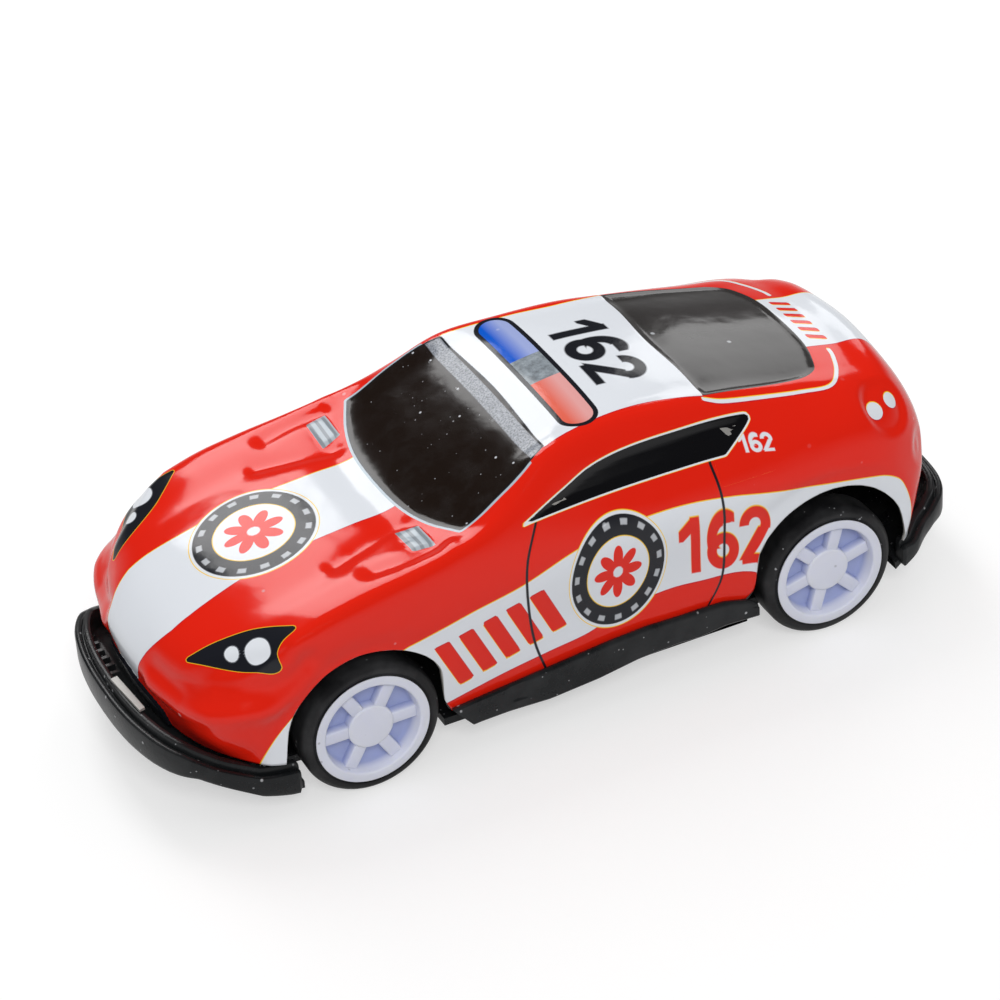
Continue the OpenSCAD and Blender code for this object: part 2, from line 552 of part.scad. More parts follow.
// A prism through the motor: the outline lies in X and Z, and it runs from y = from to y = to.
module across(from, to) translate([0, to, 0]) rotate([90, 0, 0]) linear_extrude(to - from) children();
module rod(at, r, from, to) translate([at.x, to, at.y]) rotate([90, 0, 0]) cylinder(r = r, h = to - from);

axle_boss_l = 2;
axle_boss_r = 2.2;
module case_half_shape(side) {
    wall = [min(side * inner_half, side * case_half), max(side * inner_half, side * case_half)];
    difference() {
        union() {
            difference() {
                across(min(0, side * case_half), max(0, side * case_half)) polygon(case_outline(0));
                across(min(-past * side, side * inner_half), max(-past * side, side * inner_half))
                    polygon(case_outline(case_t));
            }
            rod(axle_at, axle_boss_r, min(wall[0], wall[0] + side * axle_boss_l),
                max(wall[1], wall[1] + side * axle_boss_l));
        }
        rod(axle_at, tip_r(axle_teeth) + clear_gap, axle_gear_y - clear_gap,
            axle_gear_y + axle_gear_w + clear_gap);
        rod(axle_at, axle_d / 2 + run_fit, -2 * case_half, 2 * case_half);
        rod(compound_at, compound_pin_d / 2, -2 * case_half, 2 * case_half);
        rod(spring_at, spring_pin_d / 2, -2 * case_half, 2 * case_half);
    }
}

post_r = 0.5;
drum_inset = 1.3;
drum_r = tip_r(spring_teeth) - drum_inset;
post_dir = -60;
post_at = spring_at + (drum_r + post_r) * [cos(post_dir), sin(post_dir)];
module motor_case_left() color(case_grey) {
    case_half_shape(1);
    rod(post_at, post_r, drum_y, inner_half + root);
}

ear_r = 2.2;
screw_fit = 0.1;
module motor_case_right() color(case_grey) difference() {
    union() {
        case_half_shape(-1);
        for (p = screw_spots()) {
            wall_x = p.x < rear_x ? case_rear : case_front;
            translate([min(p.x, wall_x - case_t / 2), -ear_r, pan_top + boss_h])
                cube([abs(p.x - wall_x) + case_t / 2, ear_r, ear_t]);
            translate([p.x, 0, pan_top + boss_h]) cylinder(r = ear_r, h = ear_t);
        }
    }
    for (p = screw_spots()) translate([p.x, p.y, pan_top])
        cylinder(r = screw_r + screw_fit, h = boss_h + ear_t + past);
    across(0, ear_r + past) polygon([[case_rear, case_floor], [case_front, case_floor],
        [case_front, case_top], [case_rear, case_top]]);
}

head_r = 1.6;
head_h = 0.9;
slot_l = 2;
slot_w = 0.4;
tip_gap = 0.2;
module motor_screws() color(steel) for (p = screw_spots()) translate([p.x, p.y, pan_top + boss_h + ear_t])
    difference() {
        union() {
            cylinder(r = head_r, h = head_h);
            translate([0, 0, -ear_t - screw_depth + tip_gap])
                cylinder(r = screw_r, h = ear_t + screw_depth);
        }
        for (turn = [0, 90]) rotate([0, 0, turn]) translate([-slot_l / 2, -slot_w / 2, head_h - slot_w])
            cube([slot_l, slot_w, slot_w + past]);
    }

module gear(at, teeth, turn, from, to) across(from, to)
    translate(at) rotate(turn) polygon(gear_points(teeth));

module axle_gear() color(gear_white) difference() {
    gear(axle_at, axle_teeth, 0, axle_gear_y, axle_gear_y + axle_gear_w);
    rod(axle_at, axle_d / 2, -inner_half, inner_half);
}

spacer_r = 1.3;
module compound_gear() color(gear_white) difference() {
    union() {
        gear(compound_at, large_teeth, large_turn, large_y, large_y + gear_w);
        gear(compound_at, small_teeth, 0, large_y + gear_w - root, small_y + small_w);
        rod(compound_at, spacer_r, -inner_half + run_fit, large_y + root);
        rod(compound_at, spacer_r, small_y + small_w - root, inner_half - run_fit);
    }
    rod(compound_at, compound_pin_d / 2 + run_fit, -inner_half, inner_half);
}

arbor_r = 1.6;
module spring_gear() color(gear_white) difference() {
    union() {
        gear(spring_at, spring_teeth, spring_turn, spring_gear_y, spring_gear_y + gear_w);
        rod(spring_at, arbor_r, -inner_half + run_fit, inner_half - run_fit);
    }
    rod(spring_at, spring_pin_d / 2 + run_fit, -inner_half, inner_half);
}

// A flat strip wound in a spiral from the arbor out to the post in the case
spiral_in = arbor_r + clear_gap;
spiral_out = drum_r - strip_t;
turn_steps = 20;
function spiral(extra) = [for (k = [0 : spring_turns * turn_steps])
    let (a = post_dir - 360 * (spring_turns - k / turn_steps),
        r = spiral_in + (spiral_out - spiral_in) * k / (spring_turns * turn_steps) + extra)
    r * [cos(a), sin(a)]];
module mainspring() color(steel) across(drum_y, drum_y + drum_w) translate(spring_at)
    polygon(concat(spiral(0), backwards(spiral(strip_t))));

module compound_pin() color(steel) rod(compound_at, compound_pin_d / 2, -case_half, case_half);
module spring_pin() color(steel) rod(spring_at, spring_pin_d / 2, -case_half, case_half);

body_shell();
chassis();
axle(front_x);  // front_axle
axle(rear_x);  // rear_axle
at_wheel(front_x, 1) hub();  // front_left_hub
at_wheel(front_x, -1) hub();  // front_right_hub
at_wheel(rear_x, 1) hub();  // rear_left_hub
at_wheel(rear_x, -1) hub();  // rear_right_hub
at_wheel(front_x, 1) tyre();  // front_left_tyre
at_wheel(front_x, -1) tyre();  // front_right_tyre
at_wheel(rear_x, 1) tyre();  // rear_left_tyre
at_wheel(rear_x, -1) tyre();  // rear_right_tyre
motor_case_left();
motor_case_right();
axle_gear();
compound_gear();
spring_gear();
mainspring();
compound_pin();
spring_pin();
motor_screws();
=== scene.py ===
# Pull-back tin car: the printed body, the moulded chassis, the wheels and the motor's finishes,
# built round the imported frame. Outlines are in millimetres, finished meshes in metres.
import functools
import json
import math
import bpy
import bmesh
import numpy as np
from mathutils import Matrix, Vector

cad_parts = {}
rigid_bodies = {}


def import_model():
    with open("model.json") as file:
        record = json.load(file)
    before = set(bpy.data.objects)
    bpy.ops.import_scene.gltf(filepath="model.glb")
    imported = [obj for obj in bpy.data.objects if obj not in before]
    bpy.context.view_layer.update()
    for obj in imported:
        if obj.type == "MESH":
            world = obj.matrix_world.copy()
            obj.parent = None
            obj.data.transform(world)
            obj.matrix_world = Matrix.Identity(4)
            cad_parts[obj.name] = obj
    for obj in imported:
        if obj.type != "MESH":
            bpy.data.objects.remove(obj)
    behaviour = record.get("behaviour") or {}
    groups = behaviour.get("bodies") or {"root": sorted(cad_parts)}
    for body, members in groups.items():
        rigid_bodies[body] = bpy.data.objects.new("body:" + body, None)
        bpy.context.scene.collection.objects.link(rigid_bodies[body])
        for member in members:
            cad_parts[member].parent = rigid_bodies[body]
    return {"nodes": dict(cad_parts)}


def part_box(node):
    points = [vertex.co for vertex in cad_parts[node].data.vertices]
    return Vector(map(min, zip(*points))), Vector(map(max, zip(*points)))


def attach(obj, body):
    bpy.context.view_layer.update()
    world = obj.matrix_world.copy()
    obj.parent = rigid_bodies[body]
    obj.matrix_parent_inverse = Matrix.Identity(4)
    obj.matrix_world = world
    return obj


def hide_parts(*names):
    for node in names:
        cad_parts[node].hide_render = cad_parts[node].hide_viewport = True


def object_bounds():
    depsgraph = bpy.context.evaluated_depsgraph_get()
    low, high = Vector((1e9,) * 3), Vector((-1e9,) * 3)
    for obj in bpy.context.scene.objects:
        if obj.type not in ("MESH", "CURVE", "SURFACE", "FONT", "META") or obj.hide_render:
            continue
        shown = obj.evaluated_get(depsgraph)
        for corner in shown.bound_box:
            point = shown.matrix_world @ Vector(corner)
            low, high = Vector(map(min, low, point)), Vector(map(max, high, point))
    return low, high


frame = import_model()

cadBounds = [list(corner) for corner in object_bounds()]
mm = 0.001


# Places taken from the frame, in millimetres

def nodeMiddle(name):
    low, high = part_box(name)
    return (low + high) / 2 / mm


def nodeSize(name):
    low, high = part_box(name)
    return (high - low) / mm


noseX = cadBounds[1][0] / mm
tailX = cadBounds[0][0] / mm
frontX = nodeMiddle("front_axle").x
rearX = nodeMiddle("rear_axle").x
axleZ = nodeMiddle("front_axle").z
tyreR = nodeSize("front_left_tyre").z / 2
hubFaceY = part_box("front_left_hub")[1].y / mm
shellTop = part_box("body_shell")[1].z / mm
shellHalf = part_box("body_shell")[1].y / mm
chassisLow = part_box("chassis")[0].z / mm
print("frame: axles at", round(frontX, 2), round(rearX, 2), "tyre radius", round(tyreR, 2))


# Shader maths written as plain expressions

class Wire:
    def __init__(self, paint, socket):
        self.paint = paint
        self.socket = socket

    def maths(self, operation, *others, clamp=False):
        return self.paint.node("Math", {"operation": operation, "use_clamp": clamp}, self, *others)

    def __add__(self, other):
        return self.maths("ADD", other)

    def __sub__(self, other):
        return self.maths("SUBTRACT", other)

    def __mul__(self, other):
        return self.maths("MULTIPLY", other)

    def __radd__(self, other):
        return self.maths("ADD", other)

    def __rmul__(self, other):
        return self.maths("MULTIPLY", other)

    def __rsub__(self, other):
        return self.paint.node("Math", {"operation": "SUBTRACT"}, other, self)

    # 1 where the value lies under the limit, with a short ramp
    def under(self, limit, ramp=0.06):
        return ((limit - self) * (1 / ramp)).maths("ADD", 0.5, clamp=True)

    def over(self, limit, ramp=0.06):
        return ((self - limit) * (1 / ramp)).maths("ADD", 0.5, clamp=True)

    def size(self):
        return self.maths("ABSOLUTE")


class Paint:
    def __init__(self, name):
        self.material = bpy.data.materials.new(name)
        self.material.use_nodes = True
        self.tree = self.material.node_tree
        self.tree.nodes.clear()

    # Any node: its type, its settings, then the values or links of its sockets by number or by name
    def node(self, kind, settings, *values, result=0, **named):
        made = self.tree.nodes.new("ShaderNode" + kind)
        for key, value in settings.items():
            setattr(made, key, value)
        pairs = list(enumerate(values))
        pairs += [(key.replace("_", " "), value) for key, value in named.items()]
        for key, value in pairs:
            if isinstance(value, Wire):
                self.tree.links.new(value.socket, made.inputs[key])
            else:
                made.inputs[key].default_value = value
        return Wire(self, made.outputs[result])

    def mix(self, factor, below, above):
        made = self.tree.nodes.new("ShaderNodeMix")
        made.data_type = "RGBA"
        for index, value in ((0, factor), (6, below), (7, above)):  # the sockets that a colour mix uses
            if isinstance(value, Wire):
                self.tree.links.new(value.socket, made.inputs[index])
            else:
                made.inputs[index].default_value = value if index == 0 else (*value, 1.0)
        return Wire(self, made.outputs[2])

    def stored(self, name):
        return self.node("Attribute", {"attribute_name": name}, result="Fac")

    # The point in object coordinates, and its three parts in millimetres
    def place(self):
        point = self.node("TexCoord", {}, result="Object")
        first = self.node("SeparateXYZ", {}, point)
        parts = [Wire(self, first.socket.node.outputs[k]) * (1 / mm) for k in range(3)]
        return point, parts

    def noise(self, point, scale, detail=3.0, roughness=0.5):
        return self.node("TexNoise", {}, Vector=point, Scale=scale, Detail=detail, Roughness=roughness)

    def specks(self, point, scale, share, seed=0.0):
        moved = self.node("VectorMath", {"operation": "ADD"}, point, (seed, seed, seed))
        cells = self.node("TexVoronoi", {"feature": "F1"}, Vector=moved, Scale=scale)
        chance = self.node("SeparateColor", {}, Wire(self, cells.socket.node.outputs["Color"]))
        return cells.under(0.16, 0.1) * chance.under(share, 0.02)

    def bump(self, height, distance, strength=1.0):
        return self.node("Bump", {}, Height=height, Distance=distance, Strength=strength)

    def finish(self, **sockets):
        shader = self.node("BsdfPrincipled", {}, **sockets)
        out = self.tree.nodes.new("ShaderNodeOutputMaterial")
        self.tree.links.new(shader.socket, out.inputs[0])
        return self.material


# Curves and outlines

def hermite(a, b, ta, tb, t):
    return ((2 * t**3 - 3 * t**2 + 1) * a + (t**3 - 2 * t**2 + t) * ta
            + (3 * t**2 - 2 * t**3) * b + (t**3 - t**2) * tb)


# A smooth line through points; a point whose number is in sharp stays a corner
def curved(points, sharp=(), steps=6, closed=True):
    pts = np.array(points, float)
    count = len(pts)
    made = []
    for i in range(count if closed else count - 1):
        a, b = pts[i], pts[(i + 1) % count]
        before = pts[i - 1] if closed or i > 0 else a
        after = pts[(i + 2) % count] if closed or i + 2 < count else b
        ta = b - a if i in sharp else (b - before) / 2
        tb = b - a if (i + 1) % count in sharp else (after - a) / 2
        reach = np.linalg.norm(b - a)
        ta, tb = (t * min(1, 1.2 * reach / (np.linalg.norm(t) + 1e-9)) for t in (ta, tb))
        made += [hermite(a, b, ta, tb, s / steps) for s in range(steps)]
    return np.array(made + [pts[0] if closed else pts[-1]])


# Half an outline whose first and last points lie on the centre line, and its mirror image
def bothHalves(half, sharp=()):
    last = len(half) - 1
    whole = list(half) + [(x, -y) for x, y in reversed(half[1:-1])]
    return curved(whole, set(sharp) | {2 * last - k for k in sharp})


# A box whose top is narrower than its foot by the taper's share
def boxMesh(bm, low, high, taper=0.0):
    (x0, y0, z0), (x1, y1, z1) = low, high
    ring = [(x0, y0), (x1, y0), (x1, y1), (x0, y1)]
    middle = ((x0 + x1) / 2, (y0 + y1) / 2)
    top = [(x + (middle[0] - x) * taper, y + (middle[1] - y) * taper) for x, y in ring]
    verts = [bm.verts.new((x, y, z0)) for x, y in ring] + [bm.verts.new((x, y, z1)) for x, y in top]
    faces = [(3, 2, 1, 0), (4, 5, 6, 7), (0, 1, 5, 4), (1, 2, 6, 5), (2, 3, 7, 6), (3, 0, 4, 7)]
    for face in faces:
        bm.faces.new([verts[k] for k in face])


# A closed ring of profile points carried round the Z axis
def revolved(bm, profile, steps=96):
    rings = []
    for k in range(steps):
        angle = 2 * math.pi * k / steps
        rings.append([bm.verts.new((r * math.cos(angle), r * math.sin(angle), z)) for r, z in profile])
    for k in range(steps):
        a, b = rings[k], rings[(k + 1) % steps]
        for i in range(len(profile)):
            j = (i + 1) % len(profile)
            bm.faces.new([a[i], b[i], b[j], a[j]])


# The points of a profile with its corners rounded
def rounded(profile, radius, steps=4):
    pts = [np.array(p, float) for p in profile]
    radii = radius if isinstance(radius, (list, tuple)) else [radius] * len(pts)
    made = []
    for i, p in enumerate(pts):
        a, b, r = pts[i - 1], pts[(i + 1) % len(pts)], radii[i]
        if r <= 0:
            made.append(tuple(p))
            continue
        r = min(r, 0.49 * np.linalg.norm(a - p), 0.49 * np.linalg.norm(b - p))
        start = p + (a - p) / np.linalg.norm(a - p) * r
        end = p + (b - p) / np.linalg.norm(b - p) * r
        for s in range(steps + 1):
            t = s / steps
            made.append(tuple((1 - t) ** 2 * start + 2 * t * (1 - t) * p + t * t * end))
    return made


mergeDistance = 0.0005


def meshOf(name, bm, materials=(), recalc=True):
    if recalc:
        bmesh.ops.remove_doubles(bm, verts=bm.verts, dist=mergeDistance)
        bmesh.ops.recalc_face_normals(bm, faces=bm.faces)
    mesh = bpy.data.meshes.new(name)
    bm.to_mesh(mesh)
    bm.free()
    mesh.transform(Matrix.Scale(mm, 4))
    made = bpy.data.objects.new(name, mesh)
    bpy.context.scene.collection.objects.link(made)
    for material in materials:
        mesh.materials.append(material)
    return made


def smoothShade(piece, angle=40):
    mesh = piece.data
    mesh.polygons.foreach_set("use_smooth", [True] * len(mesh.polygons))
    bm = bmesh.new()
    bm.from_mesh(mesh)
    limit = math.radians(angle)
    for edge in bm.edges:
        edge.smooth = not (len(edge.link_faces) == 2 and edge.calc_face_angle(0) > limit)
    bm.to_mesh(mesh)
    bm.free()


# Applies a piece's modifiers, so that what is kept is a plain mesh
def madePlain(piece):
    graph = bpy.context.evaluated_depsgraph_get()
    mesh = bpy.data.meshes.new_from_object(piece.evaluated_get(graph))
    piece.modifiers.clear()
    piece.data = mesh
    return piece


# Body: eight lines run along the left half from the front lip to the rear lip.
# Each point is a station number and a place in millimetres, at the drawn size.

drawnSize = {"nose": 63.85, "tail": -63.85, "front": 33.35, "rear": -38.65, "half": 24.2, "height": 43,
             "belt": 12}

bodyLines = {
    "centre": [[0, 58.1, 0, 11], [1, 59.2, 0, 15.5], [2, 59.6, 0, 20.4], [3, 54.9, 0, 25.3],
               [4, 46.4, 0, 28.8], [5, 36.4, 0, 31.1], [6, 27.4, 0, 32], [7, 20.4, 0, 32.7],
               [8, 11.4, 0, 37], [9, 1.9, 0, 41.2], [10, -7.6, 0, 43], [11, -16.6, 0, 42.6],
               [12, -24.6, 0, 41.4], [14, -36.6, 0, 39.2], [16, -49, 0, 36.8], [17, -55.4, 0, 35.2],
               [18, -60.1, 0, 25], [19, -60.7, 0, 10.6]],
    "stripe": [[0, 57.8, 6.5, 11], [1, 58.8, 7, 15.5], [2, 59.1, 7.3, 20.3], [3, 54.6, 7.2, 25.3],
               [4, 45.9, 7.2, 28.7], [5, 35.9, 7.2, 31], [6, 27.2, 7.1, 31.9], [7, 20, 7, 32.6],
               [8, 11.2, 7, 36.9], [9, 1.8, 7, 41.1], [10, -7.6, 7, 42.9], [11, -16.6, 7, 42.4],
               [12, -24.6, 7, 41.2], [14, -36.6, 7, 38.9], [16, -49, 7.1, 36.4], [17, -55, 7, 34.9],
               [18, -59.9, 7.2, 25], [19, -60.5, 7.2, 10.6]],
    "roof": [[0, 56.8, 12, 10.8], [1, 57.6, 12.8, 15.3], [2, 57.4, 13.4, 19.9], [3, 53.2, 13.8, 25],
             [4, 44.4, 13.8, 28.5], [5, 34.9, 14, 30.8], [6, 26.4, 14, 31.8], [7, 18.7, 13.5, 32.8],
             [8, 10.4, 13.6, 36.9], [9, 1.5, 13.2, 41], [10, -7.6, 13.2, 42.4], [11, -16.6, 13, 41.8],
             [12, -24.6, 12.8, 40.6], [14, -36.6, 12.6, 38.2], [16, -48.8, 12.6, 35.7],
             [17, -54.6, 12.8, 34], [18, -59.2, 13, 24.8], [19, -59.2, 12, 10.6]],
    "crown": [[0, 55, 16.2, 10.4], [1, 56.5, 17.9, 15.6], [2, 55.6, 18.7, 20.6], [3, 50.5, 19.1, 25.8],
              [4, 41.6, 19.2, 29.6], [5, 33.4, 19.2, 31.4], [6, 25.4, 19.1, 32.4], [7, 16, 18.9, 33.8],
              [8, 8.4, 18.7, 37.8], [9, 1.2, 18, 41], [10, -7.6, 17.2, 41.4], [11, -16.6, 17, 41],
              [12, -24.6, 16.6, 39.9], [14, -36.6, 16.8, 37.4], [16, -48.4, 17.3, 34.6],
              [17, -54, 17.2, 32], [18, -58, 17.2, 24], [19, -57.4, 15.4, 10.6]],
    "belt": [[0, 52.8, 19.4, 10.1], [1, 54.6, 21.3, 15.3], [2, 53, 22.3, 20.4], [3, 47.6, 23.1, 26.3],
             [4, 39.4, 23.3, 29.5], [5, 32.1, 23.2, 30.9], [6, 24, 23, 31.9], [7, 15.9, 22.4, 33.4],
             [8, 8.4, 21.8, 34.6], [9, 0.4, 21.4, 34.7], [10, -7.6, 21.1, 34.5],
             [12, -25.1, 21.4, 34.2], [14, -36.6, 21.8, 33.5], [16, -48.1, 21.8, 31.3],
             [17, -53.2, 21, 28.3], [18, -56.4, 20.3, 21.5], [19, -55.4, 18.4, 10.5]],
    "widest": [[0, 50.5, 21.8, 9.8], [1, 50.9, 23.2, 14.9], [2, 48.9, 23.9, 19.6], [3, 43.9, 24.2, 24],
               [4, 36.6, 24.2, 26.6], [5, 29.9, 24.2, 26.6], [6, 23.4, 24.1, 26], [7, 17.9, 24, 26.8],
               [8, 9.4, 23.9, 27], [10, -7.6, 23.9, 27.8], [12, -25.6, 24.2, 28.2],
               [14, -34.6, 24.2, 28.5], [15, -40.6, 24, 28.4], [16, -46.9, 23.9, 27],
               [17, -51.2, 23.3, 24.2], [18, -54.3, 22.3, 18.5], [19, -53.8, 20.8, 10.4]],
    "waist": [[0, 48.4, 23.3, 9.4], [1, 47.6, 23.7, 15], [2, 45.2, 23.8, 19], [3, 40.9, 23.8, 22],
              [4, 34.7, 23.9, 24], [5, 28.4, 24, 23], [6, 23, 23.9, 20.5], [7, 19.7, 23.8, 17],
              [8, 10.4, 23.3, 16.5], [10, -7.6, 23, 17.5], [12, -25.4, 23.7, 19.5], [13, -28.3, 24, 23],
              [14, -33.2, 24.1, 25.5], [15, -39.6, 24.1, 26.3], [16, -46, 24.1, 25],
              [17, -50.5, 23.8, 20.8], [18, -52.8, 23.2, 15.5], [19, -52.7, 22.2, 10.4]],
}
edgeLine = {
    "corner": [[0, 46.3, 24, 9.2]],
    "frontArch": [[1, 25, 24.1], [2, 45, 24], [3, 65, 23.9], [4, 90, 23.9], [5, 120, 24],
                  [6, 150, 23.8]],
    "sill": [[7, 20.9, 23.1, 8], [8, 10.4, 22.9, 7.6], [10, -7.6, 22.8, 9], [11, -16.6, 22.9, 9.9],
             [12, -26, 23.1, 9.8]],
    "rearArch": [[13, 30, 24], [14, 60, 24.1], [15, 90, 24.1], [16, 120, 24], [17, 150, 23.7]],
    "tail": [[18, -51.7, 23.4, 12.5], [19, -51.7, 23, 10.4]],
}
archSizes = {"front": (0.25, 10.2, 12.8), "rear": (-0.25, 11.6, 12.9)}

# innerStep: how many outer steps one inner step covers
shellSettings = {"columns": 391, "rows": 112, "innerStep": 6, "tinThickness": 0.4,
                 "polish": 10, "polishShare": 0.5, "samples": 400, "sampledLines": 10}


drawnStops = [drawnSize[k] for k in ("tail", "rear", "front", "nose")]
placedStops = [tailX, rearX, frontX, noseX]


# From the drawn size to the frame's own size
def placedX(x):
    return float(np.interp(x, drawnStops, placedStops))


def placedY(y):
    return y * shellHalf / drawnSize["half"]


def placedZ(z):
    belt = drawnSize["belt"]
    return z if z <= belt else belt + (z - belt) * (shellTop - belt) / (drawnSize["height"] - belt)


def placed(line):
    return [[k, placedX(x), placedY(y), placedZ(z)] for k, x, y, z in line]


def archLine(points, axleX, sizes):
    shift, centreZ, radius = sizes
    return [[k, axleX + shift + radius * math.cos(math.radians(a)), placedY(y),
             centreZ + radius * math.sin(math.radians(a))] for k, a, y in points]


# A line's point at any stations: a spline whose slopes weigh the gaps on both sides
def alongLine(line, stations):
    knots = np.array(line, float)
    gaps = np.diff(knots[:, 0])
    slopes = np.diff(knots[:, 1:], axis=0) / gaps[:, None]
    weighed = slopes[:-1] * gaps[1:, None] + slopes[1:] * gaps[:-1, None]
    middle = weighed / (gaps[1:] + gaps[:-1])[:, None]
    slopes = np.vstack([slopes[:1], middle, slopes[-1:]])
    i = np.clip(np.searchsorted(knots[:, 0], stations, "left") - 1, 0, len(knots) - 2)
    t = ((stations - knots[i, 0]) / gaps[i])[:, None]
    leaving, arriving = slopes[i] * gaps[i, None], slopes[i + 1] * gaps[i, None]
    return hermite(knots[i, 1:], knots[i + 1, 1:], leaving, arriving, t)


# The points between the lines, at one station each
def acrossSection(knots, v):
    i = np.minimum(np.floor(v).astype(int), len(knots) - 2)
    before = np.concatenate([knots[1:2] * [1, -1, 1], knots[:-1]])
    after = np.concatenate([knots[2:], 2 * knots[-1:] - knots[-2:-1]])
    t = (v - i)[:, None, None]
    return hermite(knots[i], knots[i + 1], (knots[i + 1] - before[i]) / 2, (after[i] - knots[i]) / 2, t)


# Spreads the steps evenly over the length that they cover
def evenSteps(sample, last, count):
    fine = np.linspace(0, last, shellSettings["samples"])
    points = sample(fine)
    reaches = np.linalg.norm(np.diff(points, axis=0), axis=-1).mean(axis=-1)
    run = np.concatenate([[0], np.cumsum(reaches)])
    return np.interp(np.linspace(0, run[-1], count), run, fine)


def gridNormals(grid):
    along = np.gradient(grid, axis=0)
    across = np.gradient(grid, axis=1)
    normals = np.cross(across, along)
    return normals / np.linalg.norm(normals, axis=-1, keepdims=True)


def leftHalf():
    edge = (placed(edgeLine["corner"]) + archLine(edgeLine["frontArch"], frontX, archSizes["front"])
            + placed(edgeLine["sill"]) + archLine(edgeLine["rearArch"], rearX, archSizes["rear"])
            + placed(edgeLine["tail"]))
    lines = [placed(line) for line in bodyLines.values()] + [edge]

    def knotsAt(u):
        return np.array([alongLine(line, u) for line in lines])

    lastStation, every = edge[-1][0], shellSettings["sampledLines"]
    u = evenSteps(lambda fine: knotsAt(fine).transpose(1, 0, 2), lastStation, shellSettings["columns"])
    knots = knotsAt(u)
    v = evenSteps(lambda fine: acrossSection(knots[:, ::every], fine), len(lines) - 1,
                  shellSettings["rows"])
    half = acrossSection(knots, v).transpose(1, 0, 2)
    for _ in range(shellSettings["polish"]):  # evens the sheet out, and leaves its edges where they are
        mirror = half[:, 1:2] * [1, -1, 1]
        wide = np.concatenate([mirror, half], axis=1)
        inner = (wide[:-2, 1:-1] + wide[2:, 1:-1] + wide[1:-1, :-2] + wide[1:-1, 2:]) / 4
        half[1:-1, :-1] += shellSettings["polishShare"] * (inner - half[1:-1, :-1])
    half[:, 0, 1] = 0
    return half


half = leftHalf()
halfNormals = gridNormals(half)
if halfNormals[len(half) // 2, 0, 2] < 0:
    halfNormals = -halfNormals
print("body: half grid", half.shape[:2])


# The printed outlines, at the drawn size: seen from above (x, y), from the side (x, z)
# or square on to the headlight

def unplaced(points):
    x, y, z = points[..., 0], points[..., 1], points[..., 2]
    belt = drawnSize["belt"]
    x = np.interp(x, placedStops, drawnStops)
    z = np.where(z <= belt, z, belt + (z - belt) * (drawnSize["height"] - belt) / (shellTop - belt))
    return np.stack([x, y * drawnSize["half"] / shellHalf, z], axis=-1)


outlines = {
    "screen": bothHalves([(20.3, 0), (19.8, 7.5), (18.2, 13.6), (15.8, 18.8), (11.1, 18.6), (6, 17.9),
                          (1.35, 16.4), (1.1, 10.2), (0.8, 0)], {3, 6}),
    "rearGlass": bothHalves([(-22.9, 0), (-23.6, 9.3), (-23.8, 15.5), (-33.1, 15.1), (-39.9, 14.4),
                             (-42.5, 13.3), (-43.7, 11.8), (-45, 6.9), (-45.1, 0)], {2}),
    "roof": bothHalves([(3, 0), (3, 15), (1.4, 16.6), (-2.1, 15.9), (-8, 15.1), (-14.4, 14.7),
                        (-20.4, 15.1), (-23.8, 15.5), (-24, 0)], {1, 2, 7}),
    "sideGlass": curved([(7.8, 33.9), (0.9, 36.5), (-4.2, 38.1), (-12, 38.7), (-21.6, 38.4),
                         (-28.6, 37.6), (-29, 37), (-26, 35.3), (-23.9, 34.1), (-20, 34.2),
                         (-10.6, 34.2), (-1.3, 34.2), (6.3, 34)], {0, 8}),
    "sideStripe": curved([(33, 19), (28, 21.5), (25.1, 22.2), (17.4, 24), (9.6, 25.5), (2, 28),
                          (-3.1, 29.1), (-10.5, 29.8), (-17.1, 29.7), (-23.2, 28.9), (-27.9, 27.9),
                          (-37.4, 25.9), (-47.2, 24), (-49.8, 22.8), (-51.3, 21.1), (-52.7, 17.2),
                          (-53, 13), (-53, 8), (-36, 8), (-26.5, 14.5), (-18.4, 15.7), (-12.7, 16),
                          (-5.8, 15), (-0.7, 13.1), (5.7, 12.3), (13.3, 11.3), (21.6, 9.7), (33, 7)],
                         {0, 17, 18, 27}),
    "frontTriangle": curved([(41.2, 20.5), (42.8, 18.8), (44.5, 17), (46.3, 15.2), (47.7, 13.5),
                             (49, 11.3), (49.8, 9), (50, 7), (40, 7), (40, 19)], {0, 7, 8, 9}),
    "lamp": curved([(9.6, -3.4), (5.4, -3.7), (0.6, -3.4), (-2.6, -2.6), (-5.9, -1.35), (-3.7, -0.4),
                    (-2.6, 0.7), (-2.35, 2.3), (-2.2, 3.2), (-1.1, 3.3), (0.6, 2.3), (3.95, 0.25)],
                   {0, 4}),
    "lampDent": curved([(13.5, -2.5), (11.3, 1.6), (1.6, 5.9), (-4.6, 3.4), (-5.5, 0), (-2, -1),
                        (5, -2.2)], {0}),
    "noseBar": bothHalves([(15.8, 0), (15.1, 4), (14.8, 6.7), (14.3, 8.3), (13.5, 9.8), (11.5, 10.2),
                           (9, 10.2), (9, 0)], {4, 6}),
}
